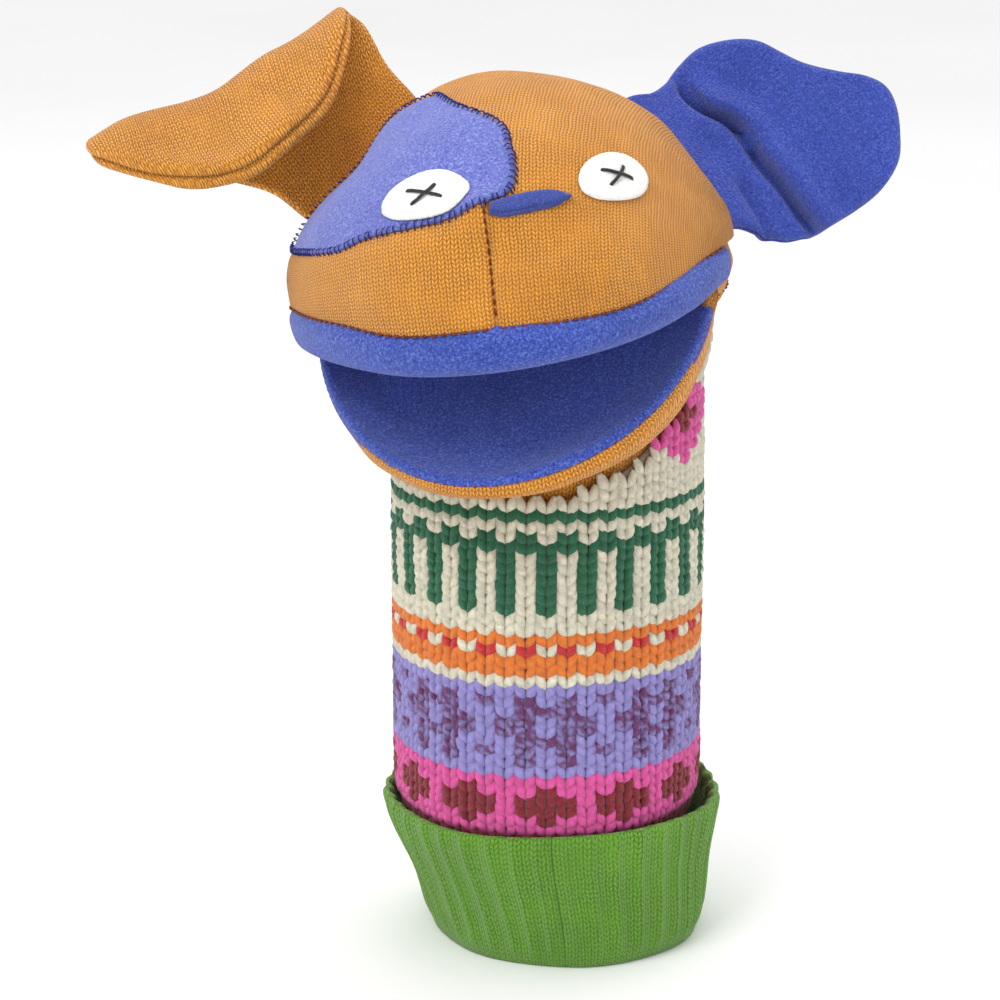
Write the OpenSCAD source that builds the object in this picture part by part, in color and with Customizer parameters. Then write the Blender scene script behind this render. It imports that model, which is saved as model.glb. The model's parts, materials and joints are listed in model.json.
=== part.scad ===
// Dog-faced hand puppet sewn from felted sweater knit: a patterned sleeve with a turned-up
// ribbed cuff, a domed head with a hinged mouth, and two floppy folded ears.
// Origin: centre of the cuff's bottom edge. +Z runs up the sleeve and the face looks along -Y.

/* [Sleeve] */
// Height of the join between the lower and the turning upper part of the sleeve
sleeve_join_z = 150; // [130:1:165]
// Outer radius of the sleeve
sleeve_r = 50.5; // [42:0.5:56]
// Thickness of the sleeve's chunky knit
sleeve_wall = 3.5; // [2:0.1:5]
// Gap between the two parts of the sleeve
sleeve_gap = 0.4; // [0.3:0.1:1]
// Height of the slanting front edge of the sleeve, under the jaw
notch_z = 151; // [150.5:0.5:160]
// Slope of the slanting front edge, in degrees
notch_slope = 38; // [32:1:45]

/* [Cuff] */
// Height of the turned-up cuff
cuff_h = 46; // [36:1:60]
// Inner radius of the arm opening
arm_r = 39; // [34:0.5:42]
// Thickness of one layer of the cuff's rib
cuff_wall = 2.6; // [2:0.1:3.5]
// How far the cuff's fold stands out past its two layers of rib
fold_room = 1.8; // [1.5:0.1:4]
// Room between the flared top of the cuff and the sleeve
cuff_flare = 1.3; // [0.5:0.1:4]

/* [Neck] */
// Height of the centre that the head turns and nods about
neck_z = 205; // [195:1:215]
// How far the rounded top of the sleeve stands out past the straight part
neck_bulge = 3.5; // [2:0.5:6]
// Running gap between the rounded top of the sleeve and the head
neck_gap = 0.8; // [0.5:0.1:2]
// Angle from the vertical of the rounded top's upper opening
neck_open = 55; // [45:1:60]

/* [Head] */
// Turn of the head in its resting pose, in degrees
head_yaw = -8; // [-15:1:15]
// Sideways lean of the head in its resting pose, in degrees
head_lean = -8; // [-12:1:12]
// Half width of the head
head_a = 68; // [62:1:76]
// Half length of the head, from front to back
head_b = 80; // [74:1:92]
// Height of the crown above the lip
head_c = 64; // [56:1:76]
// How far the head's middle lies to the +X side of the neck
head_side = -6; // [-10:0.5:10]
// How far the head's middle lies in front of the neck
head_front = 18; // [14:1:22]
// Thickness of the head's knit
head_wall = 3; // [2:0.1:4]
// Height of the upper lip edge above the neck centre
lip_rise = 14; // [12:1:18]

/* [Mouth] */
// How far the mouth fold lies in front of the neck axis
fold_front = 30; // [26:1:34]
// Height of the mouth fold above the neck centre
fold_rise = 3; // [2:0.5:5]
// How far the jaw hangs open at rest, in degrees
jaw_angle = 35; // [25:1:38]
// How much narrower the lower jaw is than the head, on each side
jaw_inset = 5; // [3:0.5:10]
// Thickness of the blue mouth lining
lining = 2.5; // [2:0.1:4]
// Thickness of the stiff boards inside the two jaws
board = 1.5; // [1:0.1:2]
// Depth of the lower jaw at the throat
jaw_depth = 18; // [14:0.5:19]
// Depth of the lower jaw at its tip
jaw_tip_depth = 10; // [8:0.5:12]
// Length of the jaw's underside, from the fold to where it starts to thin
jaw_flat = 38; // [30:1:44]
// Thickness of the chin's knit
chin_wall = 2.5; // [2:0.1:3.5]
// Width of the rolled blue rim round the palate
rim_w = 7; // [4:0.5:10]

/* [Ears] */
// Thickness of one layer of ear knit
ear_layer = 2.5; // [2:0.1:3.5]
// Half length of the mustard ear's folded flap
flap_half = 45.5; // [36:0.5:50]
// Width of the mustard ear's folded flap
flap_w = 38; // [30:0.5:42]
// Half height of the blue ear's lobe
lobe_half = 36; // [28:0.5:40]
// Width of the blue ear's lobe, from the crease to its far edge
lobe_w = 48.5; // [40:0.5:52]
// Gap between ear parts that fold on each other, and between an ear and the head
ear_gap = 0.6; // [0.4:0.1:1.5]

/* [Face] */
// Width of each eye
eye_w = 27; // [20:1:34]
// Height of each eye
eye_h = 16; // [12:1:20]
// Width of the nose
nose_w = 24; // [18:1:30]
// Height of the nose
nose_h = 8; // [5:0.5:10]
// Thickness of the felt trims
trim = 1.4; // [1:0.1:2]
// Thickness of the embroidery thread
thread = 0.8; // [0.6:0.1:1.2]
// Gap between a trim and the knit that it is sewn to
trim_gap = 0.3; // [0.2:0.1:0.5]

/* [Hidden] */

round_fn = 96;
mustard = "#DA912D";
royal = "#324BAA";
periwinkle = "#646EBE";
cream = "#E1DCC3";
grass = "#649B28";
felt_white = "#F0F0EB";
charcoal = "#323237";
card = "#B9A98A";
rust = "#8A3A14";

// Sleeve and cuff
sleeve_in = sleeve_r - sleeve_wall;
layer_gap = 0.1;
sewn_gap = 0.3;
inner_cuff_r = arm_r + cuff_wall;
cuff_fold_r = inner_cuff_r + cuff_wall + fold_room;
sleeve_foot_in = inner_cuff_r + sewn_gap;
sleeve_foot_r = sleeve_foot_in + sleeve_wall;
sleeve_foot_z = cuff_h * 0.48;
inner_cuff_h = cuff_h * 0.65;
sleeve_tuck = 1.4;
tuck_z = cuff_h - 2;
tuck_rise = 14;
fold_foot = 4;
fold_round = 3;
cuff_low_r = max(cuff_fold_r + 1, sleeve_foot_r + sewn_gap + cuff_wall);
cuff_mid_r = max(cuff_fold_r + 4, sleeve_foot_r + 1.5 + cuff_wall);
cuff_top_r = max(sleeve_r + cuff_flare + cuff_wall, cuff_mid_r);

// Neck
neck = [0, 0, neck_z];
ball_r = sleeve_r + neck_bulge;
ball_in = ball_r - sleeve_wall;
socket_r = ball_r + neck_gap;
ball_foot_z = neck_z - sqrt(ball_r * ball_r - sleeve_r * sleeve_r);
ball_open_z = neck_z + ball_r * cos(neck_open);

// Head, in a frame that is square to the face; head_place() sets it in its resting pose
lip_z = neck_z + lip_rise;
dome = [head_side, -head_front, lip_z];
fold_pt = [0, -fold_front, neck_z + fold_rise];
mouth_gap = 0.5;
palate_z = fold_pt[2] + mouth_gap;
rim_top_z = lip_z - trim_gap;
mouth_half = acos((fold_front - head_front + 0.5) / head_b);
socket_foot_z = neck_z + 1;

// Faces between successive rings of n points, with both ends closed
function ring_faces(rings, n) = concat(
    [for (i = [0 : rings - 2], k = [0 : n - 1]) each [
        [i * n + k, i * n + (k + 1) % n, (i + 1) * n + k],
        [i * n + (k + 1) % n, (i + 1) * n + (k + 1) % n, (i + 1) * n + k]]],
    [[for (k = [n - 1 : -1 : 0]) k]],
    [[for (k = [0 : n - 1]) (rings - 1) * n + k]]
);
module skin(rings) {
    polyhedron(points = [for (r = rings) each r], faces = ring_faces(len(rings), len(rings[0])));
}

// A point of the head's outline at azimuth a (0 looks forward), drawn in by da and db
function outline(a, da = 0, db = 0) =
    [head_side + (head_a - da) * sin(a), -head_front - (head_b - db) * cos(a)];

// The outline of a mouth plate, straight along the fold
function mouth_outline(da, db, steps = 32) =
    [for (i = [0 : steps]) outline(-mouth_half + 2 * mouth_half * i / steps, da, db)];

// The dome: a point at azimuth a and elevation e, and the nearest one under point p
function unit(v) = v / norm(v);
function dome_unit(a, e) = [sin(a) * cos(e), -cos(a) * cos(e), sin(e)];
function dome_stretch(u) = [head_a * u[0], head_b * u[1], head_c * u[2]];
function dome_normal(u) = unit([u[0] / head_a, u[1] / head_b, u[2] / head_c]);
function dome_at(u, off) = dome + dome_stretch(u) + off * dome_normal(u);
function dome_point(a, e, off = 0) = dome_at(dome_unit(a, e), off);
function to_dome(p, off) =
    let (q = p - dome)
    dome_at(unit([q[0] / head_a, q[1] / head_b, q[2] / head_c]), off);

module head_place() {
    translate(neck) rotate([0, head_lean, head_yaw]) translate(-neck) children();
}

// The jaw's own frame: the mouth fold at the origin and the jaw's floor in the XY plane
module jaw_place() {
    head_place() translate(fold_pt) rotate([jaw_angle, 0, 0]) translate([0, fold_front, 0])
        children();
}

// A flat frame in the head: origin o, X along x_dir, and Y in the plane that holds y_dir
module plane_place(o, x_dir, y_dir) {
    x = unit(x_dir);
    z = unit(cross(x, y_dir));
    y = cross(z, x);
    head_place() multmatrix([
        [x[0], y[0], z[0], o[0]],
        [x[1], y[1], z[1], o[1]],
        [x[2], y[2], z[2], o[2]],
        [0, 0, 0, 1]
    ]) children();
}

/* ---- Sleeve and cuff ---- */

module sleeve_lower() {
    color(cream) rotate_extrude($fn = round_fn) polygon([
        [sleeve_foot_in, sleeve_foot_z],
        [sleeve_foot_r, sleeve_foot_z],
        [sleeve_foot_r, inner_cuff_h],
        [sleeve_r - sleeve_tuck, tuck_z],
        [sleeve_r, tuck_z + tuck_rise],
        [sleeve_r, sleeve_join_z],
        [sleeve_in, sleeve_join_z],
        [sleeve_in, tuck_z + tuck_rise],
        [sleeve_in - sleeve_tuck, tuck_z],
        [sleeve_foot_in, inner_cuff_h]
    ]);
}

module ribbed_cuff() {
    color(grass) rotate_extrude($fn = round_fn) polygon([
        [arm_r, 0],
        [cuff_fold_r - fold_round / 2, 0],
        [cuff_fold_r, fold_round],
        [cuff_low_r, cuff_h / 3],
        [cuff_mid_r, cuff_h * 2 / 3],
        [cuff_top_r, cuff_h],
        [cuff_top_r - cuff_wall / 2, cuff_h + 1],
        [cuff_top_r - cuff_wall, cuff_h],
        [cuff_mid_r - cuff_wall, cuff_h * 2 / 3],
        [cuff_low_r - cuff_wall, cuff_h / 3],
        [cuff_fold_r - cuff_wall + sewn_gap, fold_foot + 1],
        [inner_cuff_r, fold_foot],
        [inner_cuff_r, inner_cuff_h],
        [arm_r, inner_cuff_h]
    ]);
}

module cuff_join_thread() {
    color(rust) translate([0, 0, sleeve_foot_z - thread - layer_gap]) rotate_extrude($fn = round_fn)
        translate([sleeve_foot_in + sleeve_wall / 2, 0]) circle(r = thread, $fn = 16);
}

module sleeve_upper() {
    color(cream) difference() {
        union() {
            translate([0, 0, sleeve_join_z + sleeve_gap])
                cylinder(r = sleeve_r, h = ball_foot_z - sleeve_join_z, $fn = round_fn);
            intersection() {
                translate(neck) sphere(r = ball_r, $fn = round_fn);
                translate([0, 0, ball_foot_z])
                    cylinder(r = ball_r + 1, h = ball_open_z - ball_foot_z, $fn = round_fn);
            }
        }
        translate([0, 0, sleeve_join_z - 1])
            cylinder(r = sleeve_in, h = ball_foot_z - sleeve_join_z + 2, $fn = round_fn);
        translate(neck) sphere(r = ball_in, $fn = round_fn);
        rotate([0, 0, head_yaw]) translate([-sleeve_r * 2, -sleeve_r, notch_z])
            rotate([notch_slope, 0, 0]) translate([0, -sleeve_r, 0])
                cube([sleeve_r * 4, sleeve_r * 6, sleeve_r * 4]);
    }
}

module neck_seam() {
    from = mouth_half + 20;
    color(rust) head_place() translate([0, 0, socket_foot_z - thread - 2 * layer_gap])
        rotate([0, 0, from - 90]) rotate_extrude(angle = 360 - 2 * from, $fn = round_fn)
            translate([socket_r + head_wall / 2, 0]) circle(r = thread, $fn = 16);
}

/* ---- Head ---- */

crown_rows = [0, 10, 20, 30, 40, 50, 60, 70, 79, 86];
crown_steps = 40;
function crown_ring(e, off) = [for (i = [0 : crown_steps - 1]) dome_point(360 * i / crown_steps, e, off)];
function rim_ring(off) =
    [for (i = [0 : crown_steps - 1]) let (a = 360 * i / crown_steps) [each outline(a, -off, -off), lip_z]];

module crown_panel() {
    color(mustard) head_place() skin(concat(
        [for (k = [len(crown_rows) - 1 : -1 : 1]) crown_ring(crown_rows[k], 0)],
        [rim_ring(0), rim_ring(-head_wall)],
        [for (k = [1 : len(crown_rows) - 1]) crown_ring(crown_rows[k], -head_wall)]
    ));
}

// The nape: from the head's round back, at the lip's height, down to the neck's socket
nape_start = mouth_half + 3;
nape_steps = 30;
function nape_angle(k) = nape_start + (360 - 2 * nape_start) * k / nape_steps;
function nape_top(a, off) = [each outline(a, -off, -off), rim_top_z];
function nape_foot(a, off) =
    let (p = outline(a), s = (socket_r + head_wall + off) / norm(p)) [p[0] * s, p[1] * s, socket_foot_z];
function nape_mid(a, off) = (nape_top(a, off) + nape_foot(a, off)) / 2;
function nape_loop(a) = [
    nape_top(a, 0), nape_mid(a, 0), nape_foot(a, 0),
    nape_foot(a, -head_wall), nape_mid(a, -head_wall), nape_top(a, -head_wall)
];

module nape_panel() {
    color(mustard) head_place() skin([for (k = [nape_steps : -1 : 0]) nape_loop(nape_angle(k))]);
}

module palate_lining() {
    color(royal) head_place() difference() {
        translate([0, 0, palate_z]) linear_extrude(rim_top_z - palate_z) polygon(mouth_outline(0, 0));
        translate([0, 0, palate_z + lining]) linear_extrude(rim_top_z)
            polygon(mouth_outline(rim_w, rim_w));
    }
}

module upper_mouth_board() {
    color(card) head_place() translate([0, 0, palate_z + lining + layer_gap]) linear_extrude(board)
        polygon(mouth_outline(rim_w + 0.5, rim_w + 0.5));
}

// A round thread along a list of points, with `out` the side that its section starts from
function thread_ring(p, along, out, r, n = 6) =
    let (x = unit(out), y = unit(cross(along, x)))
    [for (k = [0 : n - 1]) p + r * (cos(360 * k / n) * x + sin(360 * k / n) * y)];
function thread_rings(pts, outs, r) = [for (i = [0 : len(pts) - 1])
    thread_ring(pts[i], pts[min(i + 1, len(pts) - 1)] - pts[max(i - 1, 0)], outs[i], r)];

seam_steps = 32;
function seam_angle(i) = (mouth_half - 4) * (2 * i / seam_steps - 1);
module lip_seam(z, da, db) {
    pts = [for (i = [0 : seam_steps]) [each outline(seam_angle(i), da, db), z]];
    skin(thread_rings(pts, [for (p = pts) [0, 0, 1]], thread / 2));
}

module upper_lip_seam() {
    color(rust) head_place() lip_seam(lip_z, -thread / 2 - trim_gap, -thread / 2 - trim_gap);
}

dart_at = 6;
dart_top = 30;
module muzzle_dart_seam() {
    angles = [for (i = [0 : 12]) 3 + (dart_top - 3) * i / 12];
    pts = [for (e = angles) dome_point(dart_at, e, thread / 2 + trim_gap)];
    color(rust) head_place() skin(thread_rings(pts, [for (e = angles) [1, 0, 0]], thread / 2));
}

// An oval that lies on the dome: its middle, its size, its tilt and the heights of its two faces
module dome_oval(az, el, w, h, tilt, low, high, rows = 3, steps = 24) {
    p = dome_point(az, el);
    n = dome_normal(dome_unit(az, el));
    right = unit(cross([0, 0, 1], n));
    up = cross(n, right);
    x = cos(tilt) * right + sin(tilt) * up;
    y = cos(tilt) * up - sin(tilt) * right;
    head_place() skin(concat(
        [for (k = [1 : rows]) [for (i = [0 : steps - 1]) let (t = 360 * i / steps, s = k / rows)
            to_dome(p + s * (w / 2 * cos(t) * x + h / 2 * sin(t) * y), high)]],
        [for (k = [rows : -1 : 1]) [for (i = [0 : steps - 1]) let (t = 360 * i / steps, s = k / rows)
            to_dome(p + s * (w / 2 * cos(t) * x + h / 2 * sin(t) * y), low)]]
    ));
}

// Where the trims sit on the dome: azimuth and elevation of each middle
patch_at = [-28, 46];
patch_size = [66, 44];
patch_tilt = 8;
eye_on_patch = [-12, 36];
eye_on_crown = [47, 33];
nose_at = [19, 30];
patch_top = trim_gap + trim;
eye_base = patch_top + trim_gap;
eye_top = eye_base + trim;

module eye_patch() {
    color(periwinkle) dome_oval(patch_at[0], patch_at[1], patch_size[0], patch_size[1], patch_tilt, trim_gap,
                                patch_top, rows = 5, steps = 36);
}

module patch_stitching() {
    p = dome_point(patch_at[0], patch_at[1]);
    n = dome_normal(dome_unit(patch_at[0], patch_at[1]));
    right = unit(cross([0, 0, 1], n));
    up = cross(n, right);
    w = patch_size[0] / 2 + thread + 2 * trim_gap;
    h = patch_size[1] / 2 + thread + 2 * trim_gap;
    steps = 48;
    function edge(t) = let (x = w * cos(t), y = h * sin(t), c = cos(patch_tilt), s = sin(patch_tilt))
        to_dome(p + (x * c - y * s) * right + (x * s + y * c) * up, thread / 2 + trim_gap);
    pts = [for (i = [0 : steps]) edge(4 + 352 * i / steps)];
    color(royal) head_place() skin(thread_rings(pts, [for (q = pts) q - dome], thread / 2));
}

module nose() {
    color(royal) dome_oval(nose_at[0], nose_at[1], nose_w, nose_h, 3, eye_base, eye_top);
}

module eye(at, tilt) {
    color(felt_white) dome_oval(at[0], at[1], eye_w, eye_h, tilt, eye_base, eye_top);
}

// Two crossed strokes, one lying over the other
module eye_cross(at, tilt) {
    for (turn = [-28, 42])
        color(charcoal) dome_oval(at[0], at[1], eye_w * 0.45, thread, tilt + turn,
                                  eye_top + layer_gap + (turn > 0 ? thread + layer_gap : 0),
                                  eye_top + layer_gap + (turn > 0 ? 2 : 1) * thread,
                                  rows = 2, steps = 12);
}

module patch_side_eye() { eye(eye_on_patch, 12); }
module crown_side_eye() { eye(eye_on_crown, -4); }
module patch_side_eye_cross() { eye_cross(eye_on_patch, 12); }
module crown_side_eye_cross() { eye_cross(eye_on_crown, -4); }

/* ---- Lower jaw ---- */

jaw_top = -mouth_gap;
chin_rim = jaw_top - 1;
board_z = jaw_top - lining - layer_gap - board;

module mouth_floor_lining() {
    color(royal) jaw_place() translate([0, 0, jaw_top - lining]) linear_extrude(lining)
        polygon(mouth_outline(jaw_inset + chin_wall + sewn_gap, 1 + chin_wall + sewn_gap));
}

module lower_mouth_board() {
    color(card) jaw_place() translate([0, 0, board_z]) linear_extrude(board)
        polygon(mouth_outline(jaw_inset + chin_wall + 2, chin_wall + 3));
}

// The chin is a tray that is open at the throat: deep and flat there, thinner towards its tip
jaw_thin = atan((jaw_depth - jaw_tip_depth) / (head_b - 1 - fold_front + head_front - jaw_flat));
module chin_block(inset, rise) {
    difference() {
        translate([0, 0, rise - jaw_depth]) linear_extrude(jaw_depth + chin_rim)
            polygon(mouth_outline(jaw_inset + inset, 1 + inset));
        translate([-2 * head_a, -fold_front - jaw_flat, rise - jaw_depth]) rotate([-jaw_thin, 0, 0])
            translate([0, -head_b, -head_b]) cube([4 * head_a, head_b, head_b]);
    }
}
module chin_panel() {
    color(mustard) jaw_place() difference() {
        chin_block(0, 0);
        chin_block(chin_wall, chin_wall);
    }
}

module lower_lip_seam() {
    color(rust) jaw_place()
        lip_seam(chin_rim + thread / 2 + layer_gap, jaw_inset + chin_wall / 2, 1 + chin_wall / 2);
}

/* ---- Ears ---- */

// Mustard ear: the root plate stands out of the head and the flap folds forward over it
m_root_o = dome_point(-98, 41, ear_layer + ear_gap);
m_root_x = [0.6, 0.495, 0.63];
m_root_y = [-0.752, 0.081, 0.655];
m_fold_a = [31, 24];
m_fold_b = [-36, 48];
m_flap_dir = [0.529, -0.823, -0.197];
function m_root_point(p) =
    let (x = unit(m_root_x), z = unit(cross(x, m_root_y)), y = cross(z, x))
    m_root_o + p[0] * x + p[1] * y;
m_flap_o = m_root_point(m_fold_a);
m_flap_x = m_root_point(m_fold_b) - m_flap_o;

module m_root_outline() {
    polygon([[-14, 0], [33, 0], [37, 13], m_fold_a, m_fold_b, [-41, 39], [-30, 22], [-16, 10]]);
}

module mustard_ear_root_front() {
    color(mustard) plane_place(m_root_o, m_root_x, m_root_y)
        translate([0, 0, -ear_layer]) linear_extrude(ear_layer) m_root_outline();
}
module mustard_ear_root_back() {
    color(mustard) plane_place(m_root_o, m_root_x, m_root_y)
        translate([0, 0, -2 * ear_layer - layer_gap]) linear_extrude(ear_layer) m_root_outline();
}

module m_flap_outline() {
    polygon([for (i = [0 : 24]) let (t = 180 * i / 24)
        [flap_half - 1.5 - flap_half * cos(t), ear_gap + flap_w * sin(t)]]);
}

module mustard_ear_flap_front() {
    color(mustard) plane_place(m_flap_o, m_flap_x, m_flap_dir)
        translate([0, 0, ear_layer + 2 * layer_gap]) linear_extrude(ear_layer) m_flap_outline();
}
module mustard_ear_flap_back() {
    color(mustard) plane_place(m_flap_o, m_flap_x, m_flap_dir)
        translate([0, 0, layer_gap]) linear_extrude(ear_layer) m_flap_outline();
}

// Blue ear: a short root strip, then a big round lobe that hangs from the crease
b_root_o = dome_point(111, 30, ear_layer + ear_gap);
b_root_x = [-0.652, 0.29, 0.70];
b_root_y = [0.68, 0.636, 0.366];
b_root_w = 7.5;
b_lobe_o = b_root_o + [15.5, 4.85, -9.15];
b_lobe_x = [0.53, -0.152, -0.834];
b_lobe_y = [0.836, 0.251, 0.488];

module b_root_outline() {
    polygon([
        [-24, 0], [20, 0], [21, b_root_w * 0.6],
        [19, b_root_w], [-26, b_root_w], [-27, b_root_w * 0.5]
    ]);
}
module blue_ear_root_front() {
    color(royal) plane_place(b_root_o, b_root_x, b_root_y)
        translate([0, 0, layer_gap / 2]) linear_extrude(ear_layer) b_root_outline();
}
module blue_ear_root_back() {
    color(royal) plane_place(b_root_o, b_root_x, b_root_y)
        translate([0, 0, -ear_layer - layer_gap / 2]) linear_extrude(ear_layer) b_root_outline();
}

// The lobe's outline from the crease outwards, in parts of its half height and its width
lobe_shape = [
    [-0.96, 0], [-1.03, 0.12], [-1.03, 0.24], [-0.92, 0.4], [-0.72, 0.52], [-0.5, 0.62],
    [-0.27, 0.73], [-0.06, 0.87], [0.1, 0.97], [0.26, 1], [0.45, 0.97], [0.66, 0.89],
    [0.82, 0.76], [0.93, 0.58], [0.95, 0.36], [0.91, 0.14], [0.86, 0]
];
module b_lobe_outline() {
    polygon([for (p = lobe_shape) [lobe_half * p[0], ear_gap + 1 + (lobe_w - ear_gap - 1) * p[1]]]);
}
module blue_ear_lobe_front() {
    color(royal) plane_place(b_lobe_o, b_lobe_x, b_lobe_y)
        translate([0, 0, layer_gap / 2]) linear_extrude(ear_layer) b_lobe_outline();
}
module blue_ear_lobe_back() {
    color(royal) plane_place(b_lobe_o, b_lobe_x, b_lobe_y)
        translate([0, 0, -ear_layer - layer_gap / 2]) linear_extrude(ear_layer) b_lobe_outline();
}

sleeve_lower();
ribbed_cuff();
cuff_join_thread();
sleeve_upper();
neck_seam();
crown_panel();
nape_panel();
palate_lining();
upper_mouth_board();
upper_lip_seam();
muzzle_dart_seam();
eye_patch();
patch_stitching();
nose();
patch_side_eye();
crown_side_eye();
patch_side_eye_cross();
crown_side_eye_cross();
mouth_floor_lining();
lower_mouth_board();
chin_panel();
lower_lip_seam();
mustard_ear_root_front();
mustard_ear_root_back();
mustard_ear_flap_front();
mustard_ear_flap_back();
blue_ear_root_front();
blue_ear_root_back();
blue_ear_lobe_front();
blue_ear_lobe_back();
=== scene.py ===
import json
import math

import bmesh
import bpy
import numpy as np
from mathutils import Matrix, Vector


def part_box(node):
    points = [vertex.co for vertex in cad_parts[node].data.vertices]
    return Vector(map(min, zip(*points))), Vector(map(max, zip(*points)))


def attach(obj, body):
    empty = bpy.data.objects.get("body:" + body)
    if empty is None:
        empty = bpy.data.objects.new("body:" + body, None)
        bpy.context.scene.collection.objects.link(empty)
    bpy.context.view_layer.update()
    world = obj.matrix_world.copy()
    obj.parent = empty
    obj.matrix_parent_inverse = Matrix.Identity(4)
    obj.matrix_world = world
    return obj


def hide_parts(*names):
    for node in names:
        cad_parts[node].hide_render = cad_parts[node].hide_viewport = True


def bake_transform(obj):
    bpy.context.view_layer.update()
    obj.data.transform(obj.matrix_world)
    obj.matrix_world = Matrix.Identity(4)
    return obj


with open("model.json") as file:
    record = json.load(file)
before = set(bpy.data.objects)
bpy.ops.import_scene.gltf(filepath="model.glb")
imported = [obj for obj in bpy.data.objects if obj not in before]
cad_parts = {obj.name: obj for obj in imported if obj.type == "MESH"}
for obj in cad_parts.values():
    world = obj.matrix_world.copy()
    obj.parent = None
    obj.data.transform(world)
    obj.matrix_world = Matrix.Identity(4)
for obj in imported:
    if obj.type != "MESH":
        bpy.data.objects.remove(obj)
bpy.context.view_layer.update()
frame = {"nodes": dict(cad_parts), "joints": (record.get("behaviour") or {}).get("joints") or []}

# Points are worked out in millimetres and handed to Blender in metres.
MM = 0.001
joint = {j["name"]: j for j in frame["joints"]}
rng = np.random.default_rng(11)


# ---------------------------------------------------------------- small helpers
def unit(v):
    v = np.asarray(v, float)
    return v / np.maximum(np.linalg.norm(v, axis=-1, keepdims=True), 1e-9)


def node_points(name):
    verts = frame["nodes"][name].data.vertices
    co = np.empty(len(verts) * 3)
    verts.foreach_get("co", co)
    return co.reshape(-1, 3) / MM


def joint_at(name):
    return np.array(joint[name]["pos_m"]) / MM


def joint_axis(name):
    return unit(joint[name]["axis"])


def smooth(x, low, high):
    t = np.clip((np.asarray(x, float) - low) / (high - low), 0, 1)
    return t * t * (3 - 2 * t)


def bell(x, middle, width):
    return np.exp(-(((np.asarray(x, float) - middle) / width) ** 2))


def lumps(points, size, seed, waves=7):
    """Smooth noise from -1 to 1 whose bumps are about `size` across."""
    g = np.random.default_rng(seed)
    total = 0
    for _ in range(waves):
        k = unit(g.normal(size=3)) * 2 * np.pi / (size * g.uniform(0.7, 1.6))
        total = total + np.sin(points @ k + g.uniform(0, 2 * np.pi))
    return total / waves * 1.6


def spline(points, count, closed=False):
    """`count` points along a smooth curve through the given ones."""
    p = np.asarray(points, float)
    n = len(p)
    pad = np.concatenate([p[-1:], p, p[:2]]) if closed else np.concatenate(
        [2 * p[:1] - p[1:2], p, 2 * p[-1:] - p[-2:-1]]
)
    spans = n if closed else n - 1
    s = np.arange(count) * spans / (count if closed else count - 1)
    k = np.minimum(s.astype(int), spans - 1)
    t = (s - k)[:, None]
    a, b, c, d = pad[k], pad[k + 1], pad[k + 2], pad[k + 3]
    return 0.5 * (2 * b + (c - a) * t + (2 * a - 5 * b + 4 * c - d) * t**2 + (3 * b - a - 3 * c + d) * t**3)


def run_along(line):
    """How far along a polyline each of its points lies."""
    return np.concatenate([[0], np.cumsum(np.linalg.norm(np.diff(line, axis=0), axis=1))])


def srgb(r, g, b):
    c = np.array([r, g, b]) / 255
    return tuple(np.where(c <= 0.04045, c / 12.92, ((c + 0.055) / 1.055) ** 2.4).tolist())


# ---------------------------------------------------------------- mesh building
def grid_faces(rows, cols, wrap_rows=False, wrap_cols=False, start=0):
    r = np.arange(rows if wrap_rows else rows - 1)
    c = np.arange(cols if wrap_cols else cols - 1)
    r, c = (x.ravel() for x in np.meshgrid(r, c, indexing="ij"))
    r2, c2 = (r + 1) % rows, (c + 1) % cols
    return np.stack([r * cols + c, r * cols + c2, r2 * cols + c2, r2 * cols + c], 1) + start


def capped_faces(rows, cols):
    """The faces of a closed skin whose first and last rings are filled in."""
    last = (rows - 1) * cols
    return [
        grid_faces(rows, cols, wrap_cols=True), np.arange(cols)[None, ::-1], last + np.arange(cols)[None, :]
]


def build(name, points, faces, material, colour=None, knit=None, outward=True):
    """A mesh object from points in millimetres and lists of equal-sided faces."""
    faces = faces if isinstance(faces, list) else [faces]
    me = bpy.data.meshes.new(name)
    points = np.asarray(points, float).reshape(-1, 3)
    me.vertices.add(len(points))
    me.vertices.foreach_set("co", (points * MM).astype(np.float32).ravel())
    loops = np.concatenate([np.asarray(f).ravel() for f in faces])
    sizes = np.concatenate([np.full(len(f), np.asarray(f).shape[1]) for f in faces])
    me.loops.add(len(loops))
    me.loops.foreach_set("vertex_index", loops.astype(np.int32))
    me.polygons.add(len(sizes))
    me.polygons.foreach_set("loop_start", (np.cumsum(sizes) - sizes).astype(np.int32))
    me.update(calc_edges=True)
    if colour is not None:
        rgba = np.concatenate([np.asarray(colour).reshape(-1, 3), np.ones((len(points), 1))], 1)
        me.attributes.new("dye_and_shade", "FLOAT_COLOR", "POINT").data.foreach_set(
            "color", rgba.astype(np.float32).ravel()
)
    if knit is not None:
        k = np.asarray(knit, float)
        k = np.concatenate([k, np.zeros((len(k), 3 - k.shape[1]))], 1) if k.shape[1] < 3 else k
        me.attributes.new("knit", "FLOAT_VECTOR", "POINT").data.foreach_set(
            "vector", k.astype(np.float32).ravel()
)
    if outward:
        bm = bmesh.new()
        bm.from_mesh(me)
        bmesh.ops.remove_doubles(bm, verts=bm.verts, dist=1e-6)
        bmesh.ops.recalc_face_normals(bm, faces=bm.faces)
        bm.to_mesh(me)
        bm.free()
    me.shade_smooth()
    me.materials.append(material)
    obj = bpy.data.objects.new(name, me)
    bpy.context.scene.collection.objects.link(obj)
    return obj


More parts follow.
